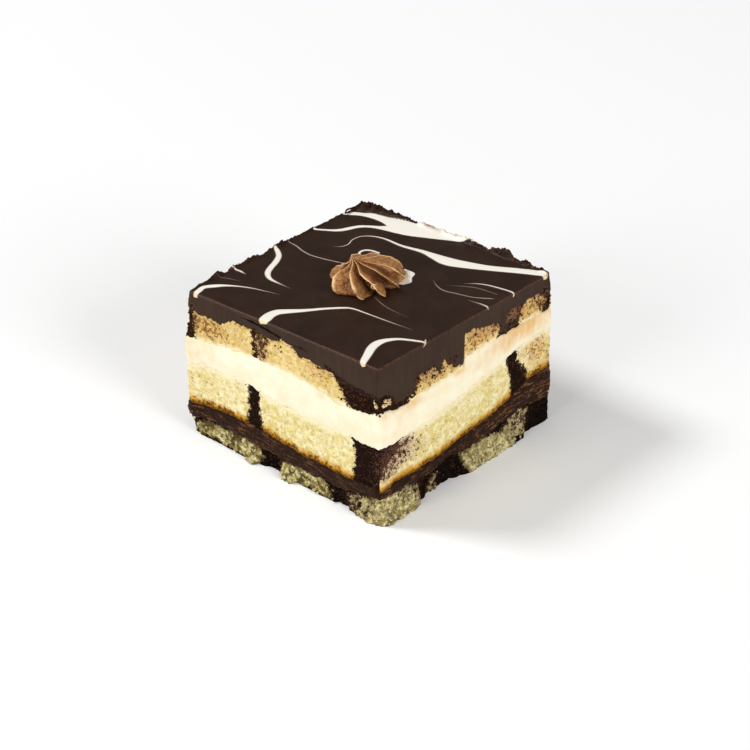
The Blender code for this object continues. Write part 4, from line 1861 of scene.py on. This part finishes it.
@dataclass
class Crumbs:
    """Loose crumbs of one colour, on the cut faces and on the top near its rim."""

    name: str
    slot: str
    block: Block
    look: CrumbFinish
    scatters: tuple[Scatter, ...]
    seed: int
    columns: int = 9
    rows: int = 6
    sunk: float = 0.2

    def middle(
        self, scatter: Scatter, around: Array, depth: float, draw: np.random.Generator
    ) -> Array:
        """The middle of one crumb.

        Args:
            scatter: The crumb's stretch.
            around: Its place round the block.
            depth: How deep or far in it lies.
            draw: The source of its height.

        Returns:
            The point.
        """
        if scatter.height is None:
            x, y = self.block.rim_place(around, depth)
            return np.append(self.block.plan_place(x, y), self.block.top_height(x, y) - self.sunk)
        height = np.array(draw.uniform(*scatter.height))
        return self.block.wall(around, height, self.block.face_offset(around, height) - depth)

    def build(self) -> bpy.types.Object:
        """Builds the crumbs: balls of few faces, each roughened by noise and partly sunk.

        Returns:
            The piece.
        """
        draw = np.random.default_rng(self.seed)
        shape = Shape()
        turn = 2.0 * math.pi * np.arange(self.columns) / self.columns
        climb = math.pi * (np.arange(1, self.rows) / self.rows - 0.5)
        flat, up = np.cos(climb)[:, None], np.sin(climb)[:, None]
        ball = np.stack((flat * np.cos(turn), flat * np.sin(turn), up + 0.0 * turn), axis=-1)
        poles = np.array(((0.0, 0.0, -1.0), (0.0, 0.0, 1.0)))
        for scatter in self.scatters:
            for number in range(scatter.count):
                around = np.array(draw.uniform(*scatter.around) % SIDES)
                depth = draw.uniform(*scatter.depth)
                size = draw.uniform(*scatter.size) * draw.uniform(0.6, 1.0, 3)
                middle = self.middle(scatter, around, depth, draw)
                grain = Grain(self.seed + number)
                grown, (low, high) = (
                    middle + part * size * (1.0 + 0.7 * grain.smooth(part, 0.6))[..., None]
                    for part in (ball, poles)
                )
                grid = shape.add(grown)
                shape.quads(grid, True)
                shape.close(grid[0], low, True)
                shape.close(grid[-1], high, False)
        return settle(shape.make(self.name, self.look.make()))


@dataclass
class Threads:
    """Thin threads of ganache drawn out at the back corner: tubes along curves over the top."""

    block: Block
    paths: tuple[Table, ...]
    look: CrumbFinish
    step: float = 0.3
    radius: float = 0.42
    tip_turn: float = 0.35

    def build(self) -> bpy.types.Object:
        """Builds the threads as one piece, each thinner towards its ends by a sine.

        Returns:
            The piece.
        """
        shape = Shape()
        for path in self.paths:
            line = smooth_line(path, self.step)
            height = self.block.top_height(line[:, 0], line[:, 1]) + line[:, 2]
            points = np.column_stack((self.block.plan_place(line[:, 0], line[:, 1]), height))
            taper = np.sin(np.linspace(self.tip_turn, math.pi - self.tip_turn, len(line)))
            shape.tube(points, self.radius * (0.5 + 0.5 * taper))
        return settle(shape.make("ganache_threads", self.look.make()))


@dataclass(frozen=True)
class Lamp:
    """One soft area light."""

    name: str
    place: tuple[float, float, float]
    size: float
    power: float
    colour: Colour = (1.0, 1.0, 1.0)

    def build(self, target: Vector) -> None:
        """Hangs the light and turns it to the target.

        Args:
            target: The point that it lights.
        """
        light = bpy.data.lights.new(self.name, "AREA")
        light.shape = "DISK"
        light.size = self.size
        light.energy = self.power
        light.color = self.colour
        lamp = bpy.data.objects.new(self.name, light)
        bpy.context.scene.collection.objects.link(lamp)
        lamp.location = self.place
        lamp.rotation_euler = (target - Vector(self.place)).to_track_quat("-Z", "Y").to_euler()


@dataclass
class Studio:
    """The floor, the lights and the camera."""

    azimuth: float = 42.4505
    elevation: float = 34.0482
    roll: float = -0.4323
    distance: float = 949.1
    target: tuple[float, float, float] = (-23.81, 29.22, 0.0)
    lens: float = 102.5
    sensor: float = 36.0
    clip: tuple[float, float] = (0.01, 50.0)
    lit_height: float = 0.04
    floor_half: float = 3000.0
    floor_height: float = -0.05
    ambient: float = 0.22
    lamps: tuple[Lamp, ...] = (
        Lamp("key", (-2.5, -1.5, 3.2), 1.2, 104.0),
        Lamp("left_fill", (-0.4, -4.2, 2.1), 2.2, 68.0),
        Lamp("right_fill", (4.2, -0.3, 2.1), 2.2, 116.0),
    )

    def build(self) -> None:
        """Builds the studio."""
        scene = bpy.context.scene
        scene.view_settings.view_transform = "Standard"
        world = bpy.data.worlds.new("studio_air")
        world.use_nodes = True
        air = world.node_tree.nodes["Background"]
        air.inputs["Color"].default_value = (1.0, 1.0, 1.0, 1.0)
        air.inputs["Strength"].default_value = self.ambient
        scene.world = world
        shape = Shape()
        reach = np.array((-self.floor_half, self.floor_half))
        x, y = np.meshgrid(reach, reach)
        corners = np.stack((x, y, np.full_like(x, self.floor_height)), axis=-1)
        shape.quads(shape.add(corners), False)
        floor = shape.make("floor", FloorFinish().make())
        for lamp in self.lamps:
            lamp.build(Vector((0.0, 0.0, self.lit_height)))
        self.camera()
        LOG.info("studio: %d lamps", len(self.lamps))

    def camera(self) -> None:
        """Stands the camera off the target by its angles, and rolls it."""
        angles = (self.azimuth, self.elevation, self.roll)
        azimuth, elevation, roll = (math.radians(angle) for angle in angles)
        level = math.cos(elevation)
        back = Vector((math.sin(azimuth) * level, -math.cos(azimuth) * level, math.sin(elevation)))
        right = (-back).cross(Vector((0.0, 0.0, 1.0))).normalized()
        up = right.cross(-back)
        turned_right = right * math.cos(roll) + up * math.sin(roll)
        turned_up = up * math.cos(roll) - right * math.sin(roll)
        data = bpy.data.cameras.new("camera")
        data.lens = self.lens
        data.sensor_width = self.sensor
        data.clip_start, data.clip_end = self.clip
        camera = bpy.data.objects.new("camera", data)
        bpy.context.scene.collection.objects.link(camera)
        place = (Vector(self.target) + back * self.distance) * MM
        turned = Matrix((turned_right, turned_up, back)).transposed().to_4x4()
        camera.matrix_world = Matrix.Translation(place) @ turned
        bpy.context.scene.camera = camera


LEFT, RIGHT, BACK_RIGHT, BACK_LEFT = Side
BOTTOM_PALE = (
    Patch(LEFT, (
        (2, 1.2), (2.5, 6.5), (9, 9.2), (24, 9.2), (38, 9.2), (41, 5), (36, -1.5), (24, 1),
        (12, 1.4),
    ), 1.2),
    Patch(LEFT, (
        (49.5, 5), (52, 9.2), (64, 9.2), (74, 9), (78.5, 5), (78, 0.5), (66, 1), (54, -2),
    ), 1.2),
    Patch(LEFT, ((86, 6), (88, 9.4), (95, 10.5), (107, 14), (107, -1), (97, -1), (88, 1.5)), 1.2),
    Patch(RIGHT, ((-2, -2), (-2, 14), (8, 12.8), (16, 11.5), (22, 8), (23.5, 2), (20, -2)), 1.2),
    Patch(RIGHT, ((29, -2), (30, 6), (31, 9.5), (33.5, 8.5), (32, 4), (35, 1), (34.5, -2)), 0.9),
    Patch(RIGHT, ((47, 11), (50, 4), (52.5, -1), (82, -1.5), (80, 5), (75, 9), (62, 11.5)), 1),
    Patch(RIGHT, ((74, 4), (80, 2), (88, 4), (90, 12), (84, 15), (76, 11)), 2.6),
    Patch(BACK_RIGHT, ((9, -1), (10, 9), (22, 10.5), (40, 10), (42, -1)), 1.2),
    Patch(BACK_RIGHT, ((63, -1), (65, 10), (78, 12.5), (91, 11), (93, -1)), 1.2),
    Patch(BACK_LEFT, ((5, -1), (7, 10), (20, 10), (31, 9), (32, -1)), 1.2),
    Patch(BACK_LEFT, ((54, -1), (56, 9.5), (72, 10), (86, 9), (88, -1)), 1.2),
)
MIDDLE_DARK = (
    Patch(LEFT, (
        (32, 42), (40, 42), (39.3, 30), (40.3, 22), (41.5, 13), (30.5, 13), (32.7, 24), (33.2, 32),
    ), 1.3),
    Patch(LEFT, (
        (88.7, 42), (91, 33), (91.5, 28), (90.2, 20), (89, 12), (108, 12), (108, 42),
    ), 0.9),
    Patch(RIGHT, (
        (-3, 21), (0.8, 22.5), (2, 26), (5, 28), (10, 29), (11, 32), (13, 42), (-3, 42),
    ), 2.4),
    Patch(RIGHT, ((75.5, 48), (83, 48), (84, 40), (90, 31), (89, 22), (80, 22), (78.8, 33)), 0.7),
    Patch(BACK_RIGHT, ((16, 18), (27, 18), (25, 34), (27, 50), (18, 50), (19, 34)), 0.9),
    Patch(BACK_RIGHT, ((68, 16), (77, 16), (79, 30), (75, 48), (66, 48), (70, 32)), 0.9),
    Patch(BACK_LEFT, ((38, 16), (47, 16), (46, 30), (49, 46), (40, 46), (37, 30)), 0.9),
    Patch(BACK_LEFT, ((84, 14), (92, 14), (90, 28), (93, 44), (85, 44)), 0.9),
)
MIDDLE_TOAST = (
    washes(
        RIGHT, (96, 42, 4, 6, 0.8), (101, 34, 9, 10, 0.6), (88, 44, 7, 7, 0.5),
        (66, 39.5, 2.5, 1.5, 0.6),
    )
    + washes(LEFT, (1, 30, 3, 9, 0.5))
)
MIDDLE_MOTTLE = (
    washes(
        RIGHT, (6, 30, 10, 8, 1.1), (15, 35, 5, 4, 0.6), (22, 28, 12, 6, 0.5), (3, 24, 4, 4, 0.7),
        (93, 37, 3, 6, 0.5),
    )
    + washes(LEFT, (103, 28, 3, 12, 0.6))
)
BURNT = (
    washes(LEFT, (14, 18, 14, 20, 0.8), (66, 18, 22, 20, 0.7))
    + washes(RIGHT, (95, 28, 14, 20, 0.9), (10, 20, 12, 20, 0.3))
    + washes(BACK_RIGHT, (50, 24, 50, 20, 0.6))
    + washes(BACK_LEFT, (50, 20, 50, 20, 0.6))
)
BOTTOM_MOTTLE = (
    washes(
        RIGHT, (84, 10, 9, 8, 1.05), (17, 10.5, 9, 3, 0.9), (21, 4, 3, 5, 0.8),
        (31, 3, 4, 6, 0.9),
    )
    + washes(
        LEFT, (98, 3, 10, 4, 0.75), (99, 9, 6, 4, 0.4), (88, 3, 4, 6, 0.9), (90, 8, 6, 4, 0.8),
    )
)
BOTTOM_LIGHT = washes(RIGHT, (66, 5, 15, 7, 1), (8, 6, 12, 6, 0.5))
TOP_MOTTLE = (
    washes(
        LEFT, (41.5, 59, 3.5, 8, 1.3), (44, 65, 5, 3, 0.8), (75, 64, 6, 2.5, 0.8),
        (4, 58, 3, 8, 0.7),
    )
    + washes(
        RIGHT, (24, 60, 6, 3, 0.6), (32, 58.5, 10, 3, 0.7), (60, 66, 10, 3.5, 1),
        (93, 64.5, 6, 3, 0.55), (70, 64, 5, 5, 0.9), (99, 62, 4, 7, 0.9), (86.5, 61, 2.5, 5, 0.6),
    )
)
TOP_DARK = (
    Patch(LEFT, ((-3, 46), (4.4, 46), (4, 54), (3.6, 66), (-3, 66)), 0.9),
    Patch(LEFT, (
        (35.3, 70), (39.6, 70), (38.7, 60), (39.8, 55), (39.4, 50), (35.8, 50), (36.3, 60),
    ), 0.9),
    Patch(LEFT, ((41, 70), (47, 70), (45, 66), (42, 63), (40.5, 60)), 1.8),
    Patch(LEFT, ((79, 70), (81.5, 63), (84.5, 58), (88, 52), (90, 48), (108, 48), (108, 70)), 0.9),
    Patch(RIGHT, ((-3, 48), (6, 50), (16, 51.5), (22, 54.5), (24, 60), (22.5, 70), (-3, 70)), 0.8),
    Patch(RIGHT, ((33.9, 62), (34.6, 58), (35.4, 55), (36.6, 55), (37.4, 58), (38, 62)), 0.7),
    Patch(RIGHT, ((20, 64), (22, 61.5), (28, 60.6), (33, 60.6), (36, 64)), 1.2),
    Patch(RIGHT, ((99.5, 54), (100, 62), (99.5, 72), (108, 72), (108, 54)), 2.2),
    Patch(RIGHT, ((70, 54), (71, 60), (85, 59), (85.5, 54)), 1),
    Patch(BACK_RIGHT, ((14, 48), (29, 48), (28, 70), (15, 70)), 1.2),
    Patch(BACK_RIGHT, ((80, 48), (89, 48), (90, 70), (81, 70)), 1.2),
    Patch(BACK_LEFT, ((57, 48), (70, 48), (69, 70), (58, 70)), 1.2),
)
TOP_TOAST = (
    washes(LEFT, (10, 57, 12, 6.5, 1.2), (74, 61, 9, 6, 0.7), (30, 60, 10, 8, 0.25))
    + washes(RIGHT, (34, 56, 16, 4.5, 0.75), (60, 62, 14, 6, 1), (92, 61, 8, 7, 0.9))
    + washes(BACK_RIGHT, (50, 58, 40, 3, 0.5))
    + washes(BACK_LEFT, (50, 55, 40, 3, 0.5))
)
CREAM_PEACH = (
    washes(LEFT, (2, 44, 16, 9, 0.5), (74, 51, 4, 3, 0.5), (92, 45, 16, 8, 0.15))
    + washes(
        RIGHT, (8, 46, 14, 7, 0.3), (47, 52, 4, 2, 0.8), (60, 51, 9, 7, 0.4),
        (84, 54.5, 16, 5.5, 1), (76, 50, 4, 4, 0.4), (99, 54, 9, 8, 0.5), (20, 50.5, 8, 2.6, 0.7),
        (3, 52, 6, 2, 0.5),
    )
)
CRACKS = (
    Patch(LEFT, (
        (30, 69.2), (37, 69.9), (45, 69.5), (51, 68.8), (56, 67.6), (50, 67.6), (42, 68.4),
        (35, 68.7),
    ), 0.25),
    Patch(LEFT, ((60, 67.9), (63.5, 68.4), (68, 67.9), (64, 67.5)), 0.2),
)
RUBBLE = (
    Patch(LEFT, ((76, 66.5), (84, 64), (90, 62.5), (107, 62.5), (107, 50), (82, 50)), 1),
    Patch(RIGHT, ((-2, 62.5), (6, 61), (10, 57), (9, 50), (-2, 50)), 1),
    Patch(RIGHT, ((75, 61), (77, 66.5), (85, 66.5), (87, 61)), 1),
    Patch(RIGHT, ((98, 60), (98, 68), (107, 69), (107, 60)), 1.3),
    Patch(LEFT, ((-2, 60), (-2, 66), (5, 65), (4, 58)), 1),
)
BLUSH = (
    washes(RIGHT, (80.5, 63, 6, 6, 1), (101, 62, 4, 5, 0.7))
    + washes(LEFT, (2, 61, 4, 5, 0.5))
)
STROKES = (
    Band(
        (
            (0.3, 91.4), (4.8, 93.7), (9.4, 95.8), (13.7, 97), (18, 98), (23, 99.5), (29, 100.8),
            (38, 101.6),
        ),
        ((1.2, 87.4), (7.8, 91.3), (13.7, 92.5), (19.5, 92.3), (26, 91), (31, 95.5), (36.5, 100.8)),
    ),
    Band(
        (
            (0.1, 70.5), (6.2, 74.2), (9.5, 77.5), (11.2, 80.8), (13.7, 85), (17.8, 87.9),
            (22, 90.9), (27, 97.5), (34, 102.8), (48, 103.6), (64, 103.2),
        ),
        (
            (1.5, 69.3), (9.9, 74.2), (13, 78), (15.1, 82.5), (19.1, 85.8), (24.8, 87.5),
            (34.8, 89.7), (43.9, 93.7), (53.7, 98.3), (60.5, 101.3), (64.8, 102.7),
        ),
        peach_reach=1.6,
    ),
    Swirl(
        (
            (18.3, 63.8, 0.3), (21.2, 65.8, 0.8), (22, 69.2, 1), (20.5, 73.3, 1), (21.2, 77.5, 1),
            (24.5, 80.4, 1.2), (30.3, 82.1, 1.5), (40.3, 81.8, 2), (50.3, 83.3, 3), (57, 83.2, 5),
            (63.7, 83.2, 7), (70.3, 85, 6.5), (80.3, 89.2, 5), (90.3, 94.6, 5), (99.5, 98.8, 4.6),
            (103.2, 98.6, 2.6),
        ),
        0.93,
    ),
    Swirl((
        (35.6, 63, 1.3), (31.2, 66, 1.6), (31, 69, 1.8), (33.5, 70.8, 1.7), (37.5, 71.2, 1.6),
    ), 0.95),
    Band(
        ((55.4, 67.6), (60.7, 67.3), (62.6, 63.6), (65, 60.3), (63.8, 56.6)),
        ((50, 61), (52, 58.5), (54, 56.5), (56.5, 54.6)),
    ),
    Swirl((
        (1.2, 55.2, 0.7), (6.2, 54.6, 1), (12, 52.9, 1), (17, 52.3, 1), (23.7, 53.2, 1),
        (30.3, 54.8, 1), (33, 55.5, 0.6),
    ), 0.8),
    Swirl((
        (0.8, 47.6, 2), (2.8, 47, 2.6), (7, 43.8, 2.9), (9.9, 39.2, 3.2), (12, 34.2, 3.2),
        (14.5, 30, 3), (18.7, 27.1, 2.2), (24.5, 26.4, 1.1), (31, 26.3, 0.3),
    ), 0.97),
    Swirl(((0.2, 23.9, 1.1), (4.5, 24.3, 1.6), (8.7, 23.8, 0.3)), 0.9),
    Swirl(((0.2, 14.4, 0.5), (5.3, 16.7, 0.8), (10.8, 18.3, 0.3)), 0.55),
    Swirl((
        (4.4, -1.4, 2.6), (4, 1.5, 3.2), (3.3, 5.4, 3), (6.2, 9.2, 3), (9.5, 12.1, 2),
        (13.7, 14.6, 1.4), (18.7, 16.7, 1.1), (24.5, 18.3, 0.8), (31.6, 20, 0.3),
    ), 0.97),
    Swirl((
        (42.2, -0.7, 4.4), (41.6, 1.4, 5.4), (40.6, 5, 5.2), (41, 8.5, 4.8), (43.7, 11.7, 4),
        (48.7, 16.7, 2.8), (53.7, 22.5, 2.2), (58.7, 27.4, 1.9), (61.8, 29.2, 1.5),
        (67.8, 29.8, 1.2), (80.3, 30.3, 0.9), (91.5, 31.1, 0.3),
    ), 0.97),
    Swirl((
        (95, -0.9, 2.6), (93.6, 1.5, 3.4), (91.4, 6, 3.9), (89.1, 10.8, 4.3), (88.3, 15, 4.3),
        (89.5, 18.7, 3.2), (92.8, 22.5, 2.2), (99.5, 25.8, 1.8), (102.2, 26.7, 1.3),
    ), 0.97),
    Swirl(((100.4, 28.6, 0.9), (101.8, 26.9, 1.3), (103.1, 25.4, 0.8)), 0.85),
    Swirl((
        (81.6, 72.9, 0.4), (85.3, 75.8, 1), (90.3, 77.9, 1.3), (97.8, 79.2, 1.4),
        (101.8, 79.3, 1.5), (103.2, 78.8, 1.1),
    ), 0.9),
    Swirl(((77, 67.1, 0.3), (82.8, 70.8, 0.8), (88.7, 73.3, 0.9), (97.8, 74.3, 0.7)), 0.5),
    Swirl((
        (69.9, 67.5, 0.3), (74.5, 64.6, 0.7), (79.5, 63.3, 0.8), (85.3, 64.6, 0.8), (92, 66.3, 0.8),
        (97.8, 69.6, 0.9), (99.5, 70.6, 0.4),
    ), 0.88),
    Swirl(((92, 63.3, 0.4), (98.7, 63.9, 1.1), (101.6, 63.7, 1.3), (102.5, 63.5, 1)), 0.9),
    Swirl(((61, 42.3, 0.5), (67.8, 39.6, 0.8), (74.5, 38.1, 0.7), (84, 37.7, 0.2)), 0.55),
)

DARK_CRUMBS = (
    Scatter((2.02, 2.38), None, 60, (0.3, 0.7), (0.1, 1.6)),
    Scatter((2.88, 3.03), None, 90, (0.3, 0.8), (0.2, 5)),
    Scatter((2.79, 2.90), None, 40, (0.3, 0.7), (0.1, 1.8)),
    Scatter((2.70, 2.80), None, 24, (0.3, 0.6), (0, 0.6)),
    Scatter((3.12, 3.97), None, 80, (0.3, 0.6), (0.1, 1.4)),
    Scatter((1.98, 2.01), (57, 71), 34, (0.3, 0.7), (0, 0.4)),
    Scatter((1.98, 2.02), (12, 28), 20, (0.3, 0.6), (0, 0.4)),
    Scatter((3.985, 4.01), (48, 66), 30, (0.3, 0.6), (0, 0.4)),
    Scatter((0.80, 1.08), (53, 61), 90, (0.3, 0.6), (-0.2, 0.3)),
    Scatter((0.35, 0.52), (62, 67), 20, (0.3, 0.55), (-0.2, 0.2)),
    Scatter((1.20, 1.45), (56, 62), 20, (0.3, 0.6), (-0.2, 0.2)),
    Scatter((1.68, 1.84), (57, 63), 16, (0.3, 0.6), (-0.2, 0.2)),
    Scatter((0.38, 0.50), (1, 9), 18, (0.4, 0.8), (-0.2, 0.2)),
    Scatter((0.76, 0.84), (1, 9), 14, (0.4, 0.8), (-0.2, 0.2)),
    Scatter((1.25, 1.46), (1, 12), 24, (0.4, 0.8), (-0.2, 0.2)),
)
REDDISH_CRUMBS = (
    Scatter((2.05, 2.36), None, 40, (0.3, 0.8), (0, 1.2)),
    Scatter((3.60, 3.80), None, 18, (0.3, 0.6), (0, 0.8)),
    Scatter((1.72, 1.83), (60, 66), 26, (0.3, 0.6), (-0.2, 0.3)),
    Scatter((0.84, 0.99), (54, 59), 16, (0.25, 0.5), (-0.2, 0.3)),
)
PALE_CRUMBS = (
    Scatter((3.985, 4.02), (2, 14), 9, (0.4, 0.9)),
    Scatter((0.972, 0.988), (56.6, 60.2), 7, (0.4, 0.9), (0.1, 0.4)),
    Scatter((1.022, 1.066), (56, 58.8), 12, (0.4, 1.1), (0.1, 0.4)),
    Scatter((1.985, 2.01), (14, 20), 4, (0.4, 0.7)),
    Scatter((2.36, 2.62), None, 16, (0.3, 0.7), (0, 0.5)),
)
# Painted shadow of the raised fold at the back-right rim, and a tan tint at its lip: middle, reach
# and strength.
FOLD_SHADE_AND_TINT_SPOTS = (
    ((36.8, 101.3), (2.2, 1), 1),
    ((40.2, 101), (2.6, 0.9), 0.8),
    ((43.8, 100.4), (2.4, 0.7), 0.4),
    ((46.5, 101.8), (4, 0.7), 0.45),
    ((53.6, 101.8), (2, 0.9), 0.7),
)
THREADS = (
    ((2.8, 87.7, 1.2), (1.2, 90, 1.2), (0.7, 92.7, 0.9), (1, 95.4, 0.1), (1.4, 98.2, -0.2)),
    ((2.1, 88.7, 0.7), (2.5, 90.8, 0.7), (2.1, 93.6, 0.4), (2.5, 95.7, -0.1), (2.5, 98.8, -0.3)),
)
SPONGE_CRUMBS = (
    Scatter((0.30, 0.34), (0.4, 2), 7, (0.5, 1.1)),
    Scatter((0.49, 0.55), (0.4, 2.5), 9, (0.5, 1.1)),
    Scatter((0.02, 0.36), (1, 8), 30, (0.4, 0.9)),
    Scatter((0.52, 0.76), (1, 8), 24, (0.4, 0.9)),
    Scatter((0.88, 1.20), (0.6, 9), 34, (0.4, 1)),
    Scatter((1.48, 1.86), (1, 11), 36, (0.4, 0.9)),
)


def main() -> None:
    """Builds the layers from the base up, then what lies on them, and the studio."""
    logging.basicConfig(level=logging.INFO, format="%(name)s: %(message)s")
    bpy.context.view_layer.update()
    block = Block()
    # The bottom crumb's near-black chocolate is chocolate with painted shadow of the deep gaps
    # between its pale lumps; edge shade paints shade round the lumps.
    bottom = SpongeFinish(
        "bottom_crumb", pale=seen(234, 220, 168), body=seen(160, 143, 86), tint=seen(142, 129, 68),
        shade=seen(80, 63, 33), hole=seen(40, 28, 16), toasted=seen(222, 209, 150),
        scorched=seen(110, 92, 54), stained=seen(194, 174, 128), chocolate=seen(16, 10, 7),
        chocolate_light=seen(66, 42, 32), edge_shade=2.0, clump_light_and_shade=0.9,
    )
    middle = SpongeFinish(
        "middle_crumb", pale=seen(250, 240, 200), body=seen(238, 220, 160),
        tint=seen(226, 208, 126), shade=seen(198, 170, 98), hole=seen(104, 76, 34),
        toasted=seen(226, 166, 88), stained=seen(196, 162, 140), chocolate_light=seen(102, 68, 54),
        crust_height=4.2, smear_below=4.0,
    )
    top = SpongeFinish(
        "top_crumb", pale=seen(246, 224, 164), body=seen(232, 202, 134), tint=seen(224, 200, 116),
        shade=seen(196, 148, 78), hole=seen(84, 48, 22), stained=seen(194, 148, 100),
        chocolate=seen(38, 23, 14), chocolate_light=seen(104, 68, 46), smear_above=2.6,
        toast_below=2.4,
    )
    SpongeLayer(
        "bottom_sponge", block, None, FUDGE_BASE, rows=34, seed=31, look=bottom,
        patches=BOTTOM_PALE, pale_patches=True, toast=BOTTOM_LIGHT, mottle=BOTTOM_MOTTLE, lump=0.7,
        hole=1.3, pores=0.4,
    ).build()
    FudgeLayer("fudge", block, FUDGE_BASE, FUDGE_TOP, rows=26, seed=32, bulge=0.5).build()
    SpongeLayer(
        "middle_sponge", block, FUDGE_TOP, CREAM_BASE, rows=62, seed=33, look=middle,
        patches=MIDDLE_DARK, toast=MIDDLE_TOAST, mottle=MIDDLE_MOTTLE, burnt=BURNT,
    ).build()
    CreamLayer(
        "cream", block, CREAM_BASE, CREAM_TOP, rows=28, seed=34, bulge=0.6, peach=CREAM_PEACH
    ).build()
    SpongeLayer(
        "top_sponge", block, CREAM_TOP, GANACHE_BASE, rows=36, seed=35, look=top, patches=TOP_DARK,
        toast=TOP_TOAST, mottle=TOP_MOTTLE,
    ).build()
    GanacheLayer(
        "ganache", block, GANACHE_BASE, None, rows=30, seed=36, cracks=CRACKS, rubble=RUBBLE,
        blush=BLUSH,
    ).build()
    Swirls(block, STROKES, FOLD_SHADE_AND_TINT_SPOTS).build()
    Rosette(block).build()
    dark = CrumbFinish("chocolate_crumb", seen(70, 42, 30), seen(24, 13, 9))
    reddish = CrumbFinish("reddish_crumb", seen(122, 82, 58), seen(60, 36, 24))
    pale = CrumbFinish("pale_crumb", seen(240, 220, 178), seen(204, 164, 112))
    sponge = CrumbFinish("sponge_crumb", seen(224, 217, 170), seen(150, 134, 76))
    Crumbs("dark_crumbs", "ganache", block, dark, DARK_CRUMBS, 71).build()
    Crumbs("reddish_crumbs", "ganache", block, reddish, REDDISH_CRUMBS, 72).build()
    Crumbs("pale_crumbs", "top_sponge", block, pale, PALE_CRUMBS, 73).build()
    Crumbs("sponge_crumbs", "bottom_sponge", block, sponge, SPONGE_CRUMBS, 74).build()
    Threads(block, THREADS, dark).build()
    Studio().build()


if __name__ == "__main__":
    main()
